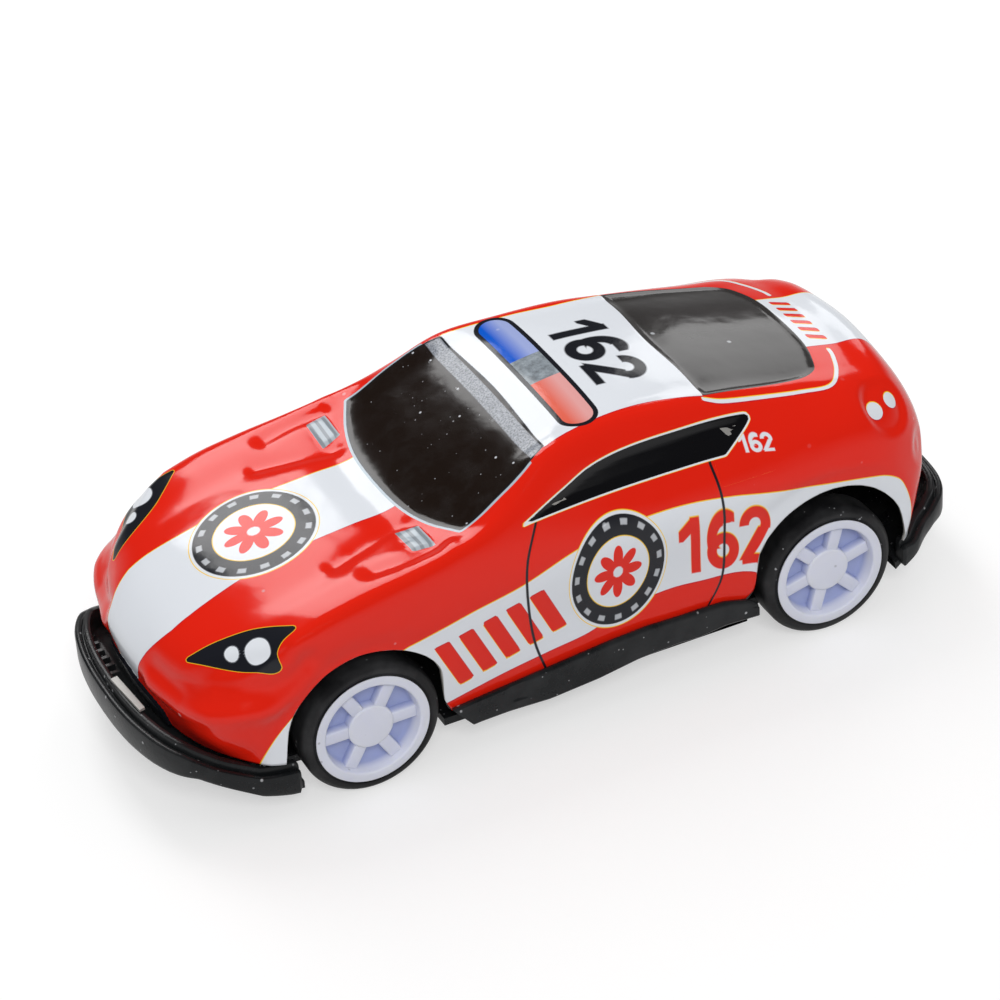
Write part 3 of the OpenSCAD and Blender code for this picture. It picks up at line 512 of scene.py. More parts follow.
lines = {
    "deckLine": curved([(-23.6, 16), (-25.9, 16.6), (-30.5, 16.8), (-38.5, 16.8), (-43.6, 16.5),
                        (-46.3, 13.5), (-47.7, 10), (-47.9, 8.5)], closed=False),
    "frontSeam": curved([(5.8, 34), (8.2, 29), (8.7, 23.6), (7.8, 15.1), (6, 8.7), (5.6, 6)],
                        closed=False),
    "rearSeam": curved([(-21.3, 33.6), (-21.8, 29.4), (-22, 23.5), (-21.8, 15.4), (-19, 9.7),
                        (-18, 7)], closed=False),
    "innerScoop": curved([(32.5, 13.5), (27, 12), (22, 10.8)], closed=False),
    "noseCrease": np.array([(58.9, 8.5, 19), (58.1, 11.9, 18.5), (57.3, 15.2, 18.3),
                            (55.2, 20.1, 19.6), (51.5, 22.9, 20.3), (47.1, 23.9, 20.2),
                            (43.8, 24, 21.8), (41.6, 24.1, 23.4)]),
    "outerScoop": curved([(29, 18.6), (24, 19.2), (20, 19)], closed=False),
}
ventCorners = [(22.7, 12), (22.7, 18), (19.5, 18.6), (19.5, 13)]
lampFrame = {"origin": (47, 20, 25.5), "along": (0.893, -0.303, -0.333), "up": (0, 0.74, -0.673),
             "lenses": [(-0.3, -0.3, 1.85), (3.3, -1.5, 1.05)], "reach": 16}
tailDiscs = [((-49, 20.1, 32.4), 1.5), ((-52.6, 18.3, 32), 1.35)]
lightBar = {"middle": -5.5, "halfWidth": 3.0, "halfLength": 15.8, "centre": 3.3, "rim": 0.7}
badges = {"hood": ((38.7, 0), (9.3, 9.3)), "side": ((-5.4, 22.2), (7.7, 9.7))}
stripeWidths = [(20, 7.0), (31, 7.2), (45, 7.6), (52, 8.1), (60, 8.1)]
stripeAtNose = [(14, 2.6), (16.4, 4.1), (18.1, 5.3), (19.7, 5.9), (21.6, 6.5), (23.6, 7.5), (25, 8.1),
                (26, 12)]
bars = {"count": 5, "topFront": (22.8, 20.1), "topRear": (4.4, 24.1), "bottomFront": (21.4, 11.8),
        "fill": 0.62, "slant": 0.12}
dashes = {"middle": -47.8, "halfLength": 1.4, "reach": 6.3, "pitch": 2.1, "half": 0.5, "lean": 0.3,
          "leanFrom": -48}
tailPanel = {"halfWidth": 7.4, "end": -44.5}

# Where prints seen in one view may begin, so that they don't show through on another face
printStarts = {"hoodX": 14, "noseX": 50, "noseBarX": 52, "scoopZ": 25, "deckZ": 30, "roofZ": 36,
               "sideY": 18}
deckLineHalf = 0.32
farOff = 9.0  # a distance at which no print shows


def edgeDistance(points, line):
    nearest = np.full(len(points), np.inf)
    for a, b in zip(line[:-1], line[1:]):
        run = b - a
        length = run @ run
        if length > 0:
            t = np.clip((points - a) @ run / length, 0, 1)
            nearest = np.minimum(nearest, ((points - a - t[:, None] * run) ** 2).sum(axis=1))
    return np.sqrt(nearest)


# The distance to a closed outline, less than nothing inside it
def outlineField(points, loop):
    within = np.zeros(len(points), bool)
    x, y = points.T
    for (x0, y0), (x1, y1) in zip(loop[:-1], loop[1:]):
        if y0 != y1:
            within ^= ((y0 > y) != (y1 > y)) & (x < (x1 - x0) * (y - y0) / (y1 - y0) + x0)
    return edgeDistance(points, loop) * np.where(within, -1, 1)


# The slanted bars on the door's stripe
def barField(side):
    corner, rear, foot = (np.array(bars[k], float) for k in ("topFront", "topRear", "bottomFront"))
    turn = np.linalg.inv(np.array([rear - corner, corner - foot]))
    s, t = ((side - foot) @ turn).T
    s = (s + bars["slant"] * (t - 0.5)) * bars["count"]
    pitch = np.linalg.norm(rear - corner) / bars["count"]
    inBar = (np.abs(s - np.floor(s) - 0.5) - bars["fill"] / 2) * pitch
    ends = np.maximum(-s, s - bars["count"]) * pitch
    return np.maximum.reduce([inBar, ends, (np.abs(t - 0.5) - 0.5) * np.linalg.norm(corner - foot)])


# Every printed mask at a list of points of the shell, as distances in millimetres
def liveryFields(points):
    x, y, z = points.T
    wide = np.abs(y)
    plan, side, front = (np.stack(pair, axis=1) for pair in ((x, wide), (x, z), (z, wide)))
    folded = np.stack([x, wide, z], axis=1)
    starts = printStarts
    made = {name: outlineField(plan, outlines[name]) for name in ("screen", "rearGlass", "roof")}
    made["vent"] = outlineField(plan, np.array(ventCorners + ventCorners[:1], float))
    for name in ("sideGlass", "sideStripe", "frontTriangle"):
        made[name] = outlineField(side, outlines[name])
    made["noseBar"] = np.maximum(outlineField(front, outlines["noseBar"]), starts["noseBarX"] - x)

    origin, along, up = (np.array(lampFrame[k], float) for k in ("origin", "along", "up"))
    offset = folded - origin
    lamp = np.stack([offset @ along, offset @ up], axis=1)
    lampGate = np.linalg.norm(offset, axis=1) - lampFrame["reach"]
    for name in ("lamp", "lampDent"):
        made[name] = np.maximum(outlineField(lamp, outlines[name]), lampGate)
    lenses = [np.hypot(lamp[:, 0] - cx, lamp[:, 1] - cy) - r for cx, cy, r in lampFrame["lenses"]]
    made["lens"] = np.maximum(np.min(lenses, axis=0), lampGate)
    discs = [np.linalg.norm(folded - centre, axis=1) - r for centre, r in tailDiscs]
    made["tailDisc"] = np.min(discs, axis=0)

    made["deckLine"] = np.maximum(edgeDistance(plan, lines["deckLine"]) - deckLineHalf,
                                  starts["deckZ"] - z)
    ahead, behind = (x - np.interp(-z, -lines[k][:, 1], lines[k][:, 0])
                     for k in ("frontSeam", "rearSeam"))
    made["seam"] = np.where(np.abs(ahead) < np.abs(behind), ahead, -behind)

    stripe = wide - np.interp(x, *zip(*stripeWidths))
    nose = wide - np.interp(z, *zip(*stripeAtNose))
    stripe = np.where(x > starts["noseX"], np.maximum(stripe, nose), stripe)
    rearPanel = np.maximum(wide - tailPanel["halfWidth"], x - tailPanel["end"])
    made["white"] = np.minimum.reduce([
        np.maximum(stripe, starts["hoodX"] - x), made["roof"], rearPanel, made["sideStripe"],
        made["frontTriangle"], made["deckLine"], made["tailDisc"]])
    leaning = (y + dashes["lean"] * (x - dashes["leanFrom"])) % dashes["pitch"] - dashes["pitch"] / 2
    dashField = np.maximum.reduce([
        np.abs(leaning) - dashes["half"], wide - dashes["reach"],
        np.abs(x - dashes["middle"]) - dashes["halfLength"], starts["deckZ"] - z])
    made["red"] = np.minimum(np.maximum(barField(side), starts["sideY"] - wide), dashField)

    straight = np.maximum(wide - (lightBar["halfLength"] - lightBar["halfWidth"]), 0)
    barShape = np.hypot(x - lightBar["middle"], straight) - lightBar["halfWidth"]
    made["lightBar"] = np.maximum(barShape, starts["roofZ"] - z)

    # Each badge in its own coordinates, where its edge is at 1; a point keeps those of the nearer badge
    (hx, hy), (hr, _) = badges["hood"]
    (sx, sz), (srx, srz) = badges["side"]
    hood = np.stack([(x - hx) / hr, (y - hy) / hr], axis=1)
    door = np.stack([np.where(y > 0, -1, 1) * (x - sx) / srx, (z - sz) / srz], axis=1)
    door[wide < starts["sideY"]] = farOff
    spans = np.linalg.norm([hood, door], axis=2)
    made["badgeRadius"] = spans.min(axis=0)
    made["badgeU"], made["badgeV"] = np.where((spans[0] < spans[1])[:, None], hood, door).T
    return made


def rise(field, depth, slope):
    t = np.clip(-field / slope, 0, 1)
    return depth * t * t * (3 - 2 * t)


# The pressed relief, outwards along the sheet: how deep each part is, and how wide its edge
reliefSettings = {
    "pressed": {"sideGlass": (-0.5, 0.9), "screen": (-0.1, 0.3), "rearGlass": (-0.15, 1),
                "lampDent": (-0.7, 2.4), "vent": (0.25, 0.5), "noseBar": (0.4, 0.5)},
    "scoops": {"innerScoop": (-0.38, 1.7), "outerScoop": (-0.38, 1.6)},
    "creases": [{"drop": 1.3, "depth": 0.55, "width": 1.5},
                {"drop": -1.6, "depth": -0.7, "width": 1.7}],
    "pillarFoot": {"at": (18, 20.5, 32.4), "depth": 0.4, "width": 1.4},
    "dents": [{"at": (-50.8, 19.4, 32), "radius": 5, "depth": -0.6, "slope": 1.8},
              {"at": (-56, 20, 24), "radius": 3.4, "depth": -0.5, "slope": 2.4}],
}


def reliefAt(points, fields):
    x, y, z = points.T
    plan = np.stack([x, np.abs(y)], axis=1)
    folded = np.stack([x, np.abs(y), z], axis=1)
    made = np.zeros(len(points))

    def ridge(away, depth, width):
        return depth * np.exp(-(away / width) ** 2)

    for name, (depth, slope) in reliefSettings["pressed"].items():
        made += rise(fields[name], depth, slope)
    for name, (depth, width) in reliefSettings["scoops"].items():
        made += ridge(edgeDistance(plan, lines[name]), depth, width) * (z > printStarts["scoopZ"])
    for crease in reliefSettings["creases"]:
        away = edgeDistance(folded + [0, 0, crease["drop"]], lines["noseCrease"])
        made += ridge(away, crease["depth"], crease["width"])
    foot = reliefSettings["pillarFoot"]
    made += ridge(np.linalg.norm(folded - foot["at"], axis=1), foot["depth"], foot["width"])
    for dent in reliefSettings["dents"]:
        away = np.linalg.norm(folded - dent["at"], axis=1) - dent["radius"]
        made += rise(away, dent["depth"], dent["slope"])
    return made


def wholeGrid(grid):
    return np.concatenate([(grid * [1, -1, 1])[:, :0:-1], grid], axis=1)


print("body: livery")
outer = wholeGrid(half)
normals = wholeGrid(halfNormals)
columns, rows = outer.shape[:2]
flat = unplaced(outer).reshape(-1, 3)
fields = liveryFields(flat)
acrossSheet = np.gradient(outer, axis=1)
acrossSheet /= np.linalg.norm(acrossSheet, axis=-1, keepdims=True)
yellowShift = 0.16  # how far out of register the yellow ink lies
shifted = liveryFields(flat - yellowShift * acrossSheet.reshape(-1, 3))
fields["whiteYellow"], fields["redYellow"] = shifted["white"], shifted["red"]
relief = reliefAt(flat, fields).reshape(columns, rows, 1)
outer = outer + normals * relief


# The bent tin tab that lies between the nose and the front bumper
tab = {"plan": [(62.25, 0.8), (61.2, 0.6), (60.5, 9.2), (61.35, 9.4)], "low": 14.32, "top": 14.7}


def tinTab(bm):
    low, top = ([bm.verts.new((placedX(x) * mm, placedY(y) * mm, tab[k] * mm)) for x, y in tab["plan"]]
                for k in ("low", "top"))
    sides = [[low[k], low[(k + 1) % 4], top[(k + 1) % 4], top[k]] for k in range(4)]
    for corners in [top, low[::-1]] + sides:
        bm.faces.new(corners).material_index = 1


# The sheet's two faces, joined along their rims; the tab is added last
def bodyShell(materials):
    step = shellSettings["innerStep"]
    inner = (outer - normals * shellSettings["tinThickness"])[::step, ::step]
    innerColumns, innerRows = inner.shape[:2]
    points = np.concatenate([outer.reshape(-1, 3), inner.reshape(-1, 3)])
    firstInner = columns * rows
    faces = []

    def outerAt(i, j):
        return i * rows + j

    def innerAt(i, j):
        return firstInner + i * innerRows + j

    for i in range(columns - 1):
        for j in range(rows - 1):
            faces.append((outerAt(i, j), outerAt(i + 1, j), outerAt(i + 1, j + 1), outerAt(i, j + 1)))
    printed = len(faces)
    for i in range(innerColumns - 1):
        for j in range(innerRows - 1):
            faces.append((innerAt(i, j), innerAt(i, j + 1), innerAt(i + 1, j + 1), innerAt(i + 1, j)))
    for j, inwards in ((0, 1), (rows - 1, -1)):
        for i in range(innerColumns - 1):
            edge = [outerAt(i * step + k, j) for k in range(step + 1)]
            rim = edge[::-1] + [innerAt(i, j // step), innerAt(i + 1, j // step)]
            faces.append(tuple(rim if inwards > 0 else rim[::-1]))
    for i, inwards in ((0, 1), (columns - 1, -1)):
        for j in range(innerRows - 1):
            edge = [outerAt(i, j * step + k) for k in range(step + 1)]
            rim = edge + [innerAt(i // step, j + 1), innerAt(i // step, j)]
            faces.append(tuple(rim if inwards > 0 else rim[::-1]))
    mesh = bpy.data.meshes.new("tin_body")
    mesh.from_pydata((points * mm).tolist(), [], faces)
    for material in materials:
        mesh.materials.append(material)
    mesh.polygons.foreach_set("material_index", [0] * printed + [1] * (len(faces) - printed))
    mesh.polygons.foreach_set("use_smooth", [True] * len(faces))
    unprinted = np.full(len(points) - firstInner, farOff)
    for name in ("white", "whiteYellow", "red", "redYellow", "screen", "rearGlass", "sideGlass",
                 "lamp", "lens", "noseBar", "seam", "vent", "lightBar", "badgeRadius", "badgeU",
                 "badgeV"):
        layer = mesh.attributes.new(name, "FLOAT", "POINT")
        layer.data.foreach_set("value", np.concatenate([fields[name], unprinted]))
    piece = bpy.data.objects.new("tin_body", mesh)
    bpy.context.scene.collection.objects.link(piece)
    bm = bmesh.new()
    bm.from_mesh(mesh)
    tinTab(bm)
    bmesh.ops.recalc_face_normals(bm, faces=bm.faces)
    bm.to_mesh(mesh)
    bm.free()
    return piece


# Printed tin: white, yellow and red inks laid slightly out of register, then the dark prints, and a highlight
# painted on the windscreen's frame.
# Each edge is a list of (distance from the print's outline, ink), from the outside in.

inks = {
    "white": (0.78, 0.81, 0.86), "yellow": (0.95, 0.60, 0.02), "magenta": (0.55, 0.008, 0.03),
    "red": (0.80, 0.016, 0.005), "ink": (0.012, 0.013, 0.018), "screen": (0.012, 0.007, 0.005),
    "screenFrameHighlight": (0.46, 0.55, 0.62), "rearGlass": (0.035, 0.032, 0.031),
    # The pale blue-grey beside the screen is not an ink: it is a painted highlight on the windscreen's raised
    # frame
    "sideGlass": (0.005, 0.005, 0.006), "strip": (0.14, 0.15, 0.17), "blue": (0.0, 0.10, 0.62),
    "pink": (0.80, 0.14, 0.09), "silver": (0.45, 0.51, 0.56), "barCentre": (0.16, 0.18, 0.2),
}
printSettings = {
    "roughness": 0.09, "reflection": 0.35, "bump": 0.0003, "bumpStrength": 0.5,
    "stripStart": 1.5, "stripEnd": 3.7, "stripGlint": 2.6,
    # Where the painted highlight on the windscreen frame begins, and how wide it is
    "frameHighlightStart": 4, "frameHighlightWidth": 0.36, "glassInset": -0.28,
    "badgeEdges": [(1.0, "yellow"), (0.985, "white"), (0.94, "dark"), (0.635, "yellow"),
                   (0.62, "white")],
    "ticks": 30, "tickGap": 0.35, "tickInner": 0.79, "tickOuter": 0.88, "petals": 8, "petalReach": 0.24,
    "rosetteHole": 0.1, "seamHalf": 0.2, "seamTop": 34.2, "seamInner": 16, "ventRibs": 5.4,
    "sideGlassEdges": [(0.26, "yellow"), (0.2, "white"), (0, "sideGlass")],
    "lampEdges": [(0.42, "yellow"), (0.34, "ink")], "lensRim": 0.12, "lensReach": 1.5,
    "barFadeStart": 5.3, "barBlueEnd": -3.2, "barPinkStart": 3.3,
}

# The number's places on the doors, the rear quarters and the roof: its foot's corner and its size
numberSettings = {
    "side": {"x": -14.9, "z": 17.8, "levelX": -14.9, "slope": 0.156, "width": 7.75, "height": 10.1,
             "span": 14.7},
    "quarter": {"x": -26.2, "z": 34.0, "levelX": -25.1, "slope": 0.19, "width": 2.7, "height": 2.2,
                "span": 5.0},
    "roof": {"x": -10.8, "y": -8.9, "width": 9.4, "height": 8.8},
    "lean": 0.06, "quarterZ": 30.5, "quarterX": 22, "yellowShift": -0.022,
}
# Its strokes, with the number's height as 1: spans across and up, arcs as middle, radius and stretch,
# slopes as a point and an angle
strokes = {
    "half": 0.1,
    "oneStem": [(0.27, 0.46), (0, 1)], "oneFlag": [(0.30, 0.87, 0.66), (0.03, 0.3), (0.6, 1)],
    "sixBowl": (0.92, 0.315, 0.225, 1.01), "sixNeck": (0.955, 0.55, 0.26, 1.38),
    "neckLow": 0.36, "neckLeft": 0.93, "neckHigh": 0.80, "neckRight": 1.16,
    "twoBow": (1.58, 0.69, 0.222), "bowMiddle": 0.69, "bowLeft": 1.6, "bowLow": 0.58,
    "twoSlope": [(1.40, 0.13, 0.93), (0.08, 0.63)], "twoFoot": [(1.30, 1.87), (0, 0.165)],
}


# The number's own coordinates: its height is 1, and its foot starts at 0
def numberPlaces(x, y, z, roofZone, quarterZone):
    left = y.over(0, 0.01)

    # From the number's near edge, on either side of the car
    def across(place):
        return ((x - place["x"]) * (left * -2 + 1) + (1 - left) * place["span"]) * (1 / place["width"])

    def upwards(place):
        return (z - place["z"] - (x - place["levelX"]) * place["slope"]) * (1 / place["height"])

    def chosen(zone, value, other):
        return zone * value + (1 - zone) * other

    side, quarter, roof = (numberSettings[k] for k in ("side", "quarter", "roof"))
    v = upwards(side)
    u = across(side) + v * numberSettings["lean"]
    roofU = (y - roof["y"]) * (1 / roof["width"])
    roofV = (x * -1 + roof["x"]) * (1 / roof["height"])
    return (chosen(roofZone, roofU, chosen(quarterZone, across(quarter), u)),
            chosen(roofZone, roofV, chosen(quarterZone, upwards(quarter), v)))


# The plain number 162, as a distance that is less than nothing inside its strokes
def number162(u, v):
    def both(*parts):
        return functools.reduce(lambda a, b: a.maths("MAXIMUM", b), parts)

    def either(*parts):
        return functools.reduce(lambda a, b: a.maths("MINIMUM", b), parts)

    def slab(value, span):
        low, high = span
        return (value - (low + high) / 2).size() - (high - low) / 2

    def ring(cu, cv, radius, tall=1.0):
        du, dv = u - cu, (v - cv) * (1 / tall)
        return ((du * du + dv * dv).maths("SQRT") - radius).size() - strokes["half"]

    def slope(pu, pv, angle):
        return ((u - pu) * math.sin(angle) - (v - pv) * math.cos(angle)).size() - strokes["half"]

    def block(name):
        across, upwards = strokes[name]
        return both(slab(u, across), slab(v, upwards))

    flag, flagU, flagV = strokes["oneFlag"]
    one = either(block("oneStem"), both(slope(*flag), slab(u, flagU), slab(v, flagV)))
    down, leftwards = v * -1, u * -1
    neck = both(ring(*strokes["sixNeck"]), down + strokes["neckLow"],
                either(u - strokes["neckLeft"], down + strokes["neckHigh"]), u - strokes["neckRight"])
    six = either(ring(*strokes["sixBowl"]), neck)
    bow = both(ring(*strokes["twoBow"]),
               either(down + strokes["bowMiddle"],
                      both(leftwards + strokes["bowLeft"], down + strokes["bowLow"])))
    line, lineV = strokes["twoSlope"]
    two = either(bow, both(slope(*line), slab(v, lineV)), block("twoFoot"))
    return either(one, six, two)


def printedTin():
    look = printSettings
    paint = Paint("printed_tin")
    point, (x, y, z) = paint.place()
    white, whiteYellow, red, redYellow = (paint.stored(k)
                                          for k in ("white", "whiteYellow", "red", "redYellow"))
    magentaInk = white.over(0).maths("MAXIMUM", red.under(0))
    yellowInk = whiteYellow.over(0).maths("MAXIMUM", redYellow.under(0))
    bare = paint.mix(yellowInk, inks["white"], inks["yellow"])
    inked = paint.mix(yellowInk, inks["magenta"], inks["red"])
    colour = paint.mix(magentaInk, bare, inked)

    # An outline's edges and its inside
    def edged(colour, field, edges):
        for limit, name in edges:
            colour = paint.mix(field.under(limit), colour, inks[name])
        return colour

    # The number, in the colours of its three places
    roofZone = z.over(printStarts["roofZ"])
    quarterZone = z.over(numberSettings["quarterZ"]) * (x * -1).over(numberSettings["quarterX"])
    sideZone = (1 - roofZone) * (1 - quarterZone)
    numberU, numberV = numberPlaces(x, y, z, roofZone, quarterZone)
    number = number162(numberU, numberV)
    shiftedNumber = number162(numberU, numberV + numberSettings["yellowShift"])
    colour = paint.mix(number.under(0, 0.03) * roofZone, colour, inks["ink"])
    colour = paint.mix(number.under(0, 0.05) * quarterZone, colour, inks["white"])
    colour = paint.mix(shiftedNumber.under(0, 0.02) * sideZone, colour, inks["yellow"])
    colour = paint.mix(number.under(0, 0.02) * sideZone, colour, inks["red"])

    # Badge: a dark disc with ticks, and a plain rosette on the white disc in its middle
    u, v, radius = (paint.stored(k) for k in ("badgeU", "badgeV", "badgeRadius"))
    angle = v.maths("ARCTAN2", u)
    tick = (angle * (look["ticks"] / 2)).maths("SINE").over(look["tickGap"], 0.3)
    tick = tick * radius.over(look["tickInner"], 0.02) * radius.under(look["tickOuter"], 0.02)
    dark = paint.mix(tick * 0.6, inks["ink"], inks["white"])
    for limit, name in look["badgeEdges"]:
        colour = paint.mix(radius.under(limit, 0.012), colour, dark if name == "dark" else inks[name])
    petal = (angle * (look["petals"] / 2)).maths("COSINE").size() * look["petalReach"]
    rosette = (radius - (petal + look["petalReach"])).under(0, 0.015) * radius.over(look["rosetteHole"], 0.02)
    colour = paint.mix(rosette, colour, inks["red"])

    # Seams, which stop below the roof and inside the sides, vents and side glass
    seam = paint.stored("seam").size() + z.over(look["seamTop"], 0.2) * farOff
    seam = seam + y.size().under(look["seamInner"], 0.2) * farOff
    colour = paint.mix(seam.under(look["seamHalf"], 0.1), colour, inks["ink"])
    ribs = (x * look["ventRibs"]).maths("SINE").over(0.2, 0.6)
    slats = paint.mix(ribs * 0.6, inks["silver"], inks["strip"])
    colour = paint.mix(paint.stored("vent").under(0.0), colour, slats)
    colour = edged(colour, paint.stored("sideGlass"), look["sideGlassEdges"])

    # Windscreen: dusty dark glass with a speckled strip along its top, and a pale band painted along its
    # lower edge and pillars as the highlight on its raised frame
    screen = paint.stored("screen")
    grain = paint.noise(point, 3500, 2).over(0.5, 0.35)
    strip = paint.mix(grain, inks["strip"], tuple(look["stripGlint"] * c for c in inks["strip"]))
    dust = paint.specks(point, 900, 0.06).maths("MAXIMUM", paint.specks(point, 1700, 0.08, 3.0) * 0.5)
    swirl = paint.noise(point, 260, 6, 0.65).over(0.60, 0.25) * 0.01
    glass = paint.mix(swirl.maths("MAXIMUM", dust * 0.8), inks["screen"], inks["white"])
    glass = paint.mix(x.under(look["stripEnd"], 0.15) * x.over(look["stripStart"], 0.1), glass, strip)
    # Painted highlight: a pale bluish band just outside the screen's outline, except along its top, stands
    # for light caught by the raised frame
    frameHighlight = screen.under(look["frameHighlightWidth"]) * x.over(look["frameHighlightStart"])
    colour = paint.mix(frameHighlight, colour, inks["screenFrameHighlight"])
    colour = paint.mix(screen.under(0), colour, inks["ink"])
    colour = paint.mix(screen.under(look["glassInset"]), colour, glass)
    colour = paint.mix(paint.stored("rearGlass").under(0), colour, inks["rearGlass"])

    # Headlights
    lamp, lens = paint.stored("lamp"), paint.stored("lens")
    colour = edged(colour, lamp, look["lampEdges"])
    colour = paint.mix(lens.under(look["lensRim"]) * lamp.under(0), colour, inks["strip"])
    colour = paint.mix(lens.under(0) * lamp.under(look["lensReach"]), colour, inks["white"])

    # Light bar: blue and pink lenses that pale towards the rear, and a dark middle
    bar = paint.stored("lightBar")
    fade = (x * -1 - look["barFadeStart"]).over(0.0, 2.6)
    lensBlue = paint.mix(fade * 0.45, inks["blue"], inks["white"])
    lensPink = paint.mix(fade * 0.35, inks["pink"], inks["white"])
    streaks = paint.noise(point, 700, 5, 0.7).over(0.5, 0.3)
    middle = paint.mix(streaks * 0.7, inks["barCentre"], inks["silver"])
    cells = paint.mix(y.over(look["barBlueEnd"]), lensBlue, middle)
    cells = paint.mix(y.over(look["barPinkStart"]), cells, lensPink)
    colour = paint.mix(bar.under(0), colour, inks["ink"])
    colour = paint.mix(bar.under(-lightBar["rim"]), colour, cells)
    colour = paint.mix(paint.stored("noseBar").under(0), colour, inks["ink"])

    # Dust and fine wear over everything
    wear = paint.specks(point, 520, 0.03, 7.0)
    colour = paint.mix(wear * 0.5, colour, inks["white"])
    waves = paint.noise(point, 120, 2) * 0.8 + paint.noise(point, 420, 2) * 0.12
    grooves = seam.under(0.25, 0.3) * -0.4
    rough = paint.noise(point, 300, 3) * 0.06 + look["roughness"]
    normal = paint.bump(waves + grooves, look["bump"], look["bumpStrength"])
    return paint.finish(Base_Color=colour, Roughness=rough, Normal=normal,
                        Specular_IOR_Level=look["reflection"])


bareTinLook = {"dark": (0.34, 0.33, 0.31), "light": (0.46, 0.45, 0.43), "metal": 0.35, "roughness": 0.3}


def bareTin():
    paint = Paint("bare_tin")
    point, _ = paint.place()
    stains = paint.noise(point, 180, 5, 0.6)
    colour = paint.mix(stains, bareTinLook["dark"], bareTinLook["light"])
    scratches = paint.noise(point, 900, 4, 0.7)
    return paint.finish(Base_Color=colour, Metallic=bareTinLook["metal"],
                        Roughness=stains * 0.2 + bareTinLook["roughness"],
                        Normal=paint.bump(scratches, 0.00005, 0.4))


body = bodyShell([printedTin(), bareTin()])
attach(body, "car_body")
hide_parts("body_shell")
print("body:", len(body.data.polygons), "faces")


# Chassis: one black moulding of two bumpers, a floor pan, sills, lugs and screw bosses

chassisSettings = {
    "frontHalf": [(44.85, 24.6), (48.4, 24.3), (51.9, 23.4), (55.9, 21.8), (59.6, 19), (61.8, 15),
                  (63.1, 10), (63.7, 5), (63.85, 0)],
    "rearHalf": [(-52.2, 23), (-54.3, 22.6), (-56.5, 21.2), (-59, 20), (-61.2, 18.2), (-63, 14.6),
                 (-63.75, 9), (-63.85, 0)],
    "pan": [(-63.85, 9.2), (-58.6, 9), (-55.5, 7.4), (-52, 5.4), (-49.45, 3.6), (41.85, 3.6), (46, 4),
            (50, 4.9), (54.5, 7.1), (58, 8.7), (63.85, 8.9)],
    "frontTop": [(40, 8.1), (50, 9), (55.5, 11.3), (59.5, 13.3), (62.5, 14.1), (63.85, 14.3)],
    "rearTop": [(-63.85, 13.8), (-60, 13.3), (-57, 11.8), (-54, 9.9), (-48, 9.4)],
    "panThickness": 1.2, "wheelRoom": 11.5, "innerY": 17.6, "ledgeY": 19.8, "sillY": 24.4,
    "sillTop": [(-27.2, 8.8), (-25.8, 9.9), (-21.8, 11.0), (-18.1, 11.1), (-14.4, 11.1), (-9.6, 11.3),
                (-3.9, 11), (1.5, 10.5), (7.8, 9.9), (14, 9.3), (21.2, 8.6)],
    "sillLow": [(-27.2, 6.8), (-21.7, 7.1), (-17.4, 6.6), (-14.2, 6.8), (-7.8, 6.5), (-1.4, 5.5),
                (6.2, 4.9), (12.7, 5.2), (21.2, 5.0)],
    "rearExtra": 2.05, "sillExtra": 0.7, "ledgeWidth": 0.8, "panInset": 1.2, "panStep": 4,
    "sillSteps": 60, "slant": 3, "slantLength": 4, "layer": 0.35, "layerEnd": 12.5,
    "dimple": {"x": 11.1, "depth": 0.25, "width": 0.9},
    "bumperEnd": 0.4, "bumperEndShare": 0.72,
    "lug": (5, 2.4, 17.2), "lugTaper": 0.04, "boss": (2, 1.4), "bossTaper": 0.96, "sunk": 0.4,
    "blades": {"count": 5, "y": -3.2, "pitch": 2.1, "half": 0.35, "x": (59.4, 61.8), "z": (10.2, 12.6),
               "drop": 0.12, "taper": 0.15},
}

# Each ridge of a bumper: how far in from the outer line, and the height,
# measured down from the top or up from the foot
bumperSection = [(0.35, 0, "foot"), (0.1, 0.25, "foot"), (0, 0.7, "foot"), (0, -1.35, "top"),
                 (0.12, -1.0, "top"), (0.35, -0.84, "top"), (0.75, -0.82, "top"), (0.98, -0.95, "top"),
                 (1.1, -1.25, "top"), (1.22, -1.25, "top"), (1.3, -0.4, "top"), (1.42, -0.1, "top"),
                 (1.65, 0, "top"), (2.1, 0, "top"), (2.32, -0.12, "top"), (2.4, -0.4, "top"),
                 (2.4, 0.2, "foot"), (2.3, 0, "foot")]


# The outside of a sill: how far in, its share of the dimple and of the raised layer, and the height
sillSection = [(0.25, 0, 0, 0, "low"), (0, 0, 0, 0.3, "low"), (0, 0, 0, 1.5, "low"),
               (0, 1, 0.3, 1.7, "low"), (0, 1, 0.5, -0.8, "top"), (0.15, 0, 0.5, -0.25, "top"),
               (0.45, 0, 0.4, 0, "top"), (0.95, 0, 0, -0.05, "top"), (1.0, 0, 0, 1.2, "low")]


# A solid through a row of closed sections
def swept(bm, sections):
    rings = [[bm.verts.new(p) for p in section] for section in sections]
    for a, b in zip(rings[:-1], rings[1:]):
        for k in range(len(a)):
            j = (k + 1) % len(a)
            bm.faces.new([a[k], a[j], b[j], b[k]])
    bm.faces.new(rings[0][::-1])
    bm.faces.new(rings[-1])


def heightAt(table, x):
    return float(np.interp(x, *zip(*table)))


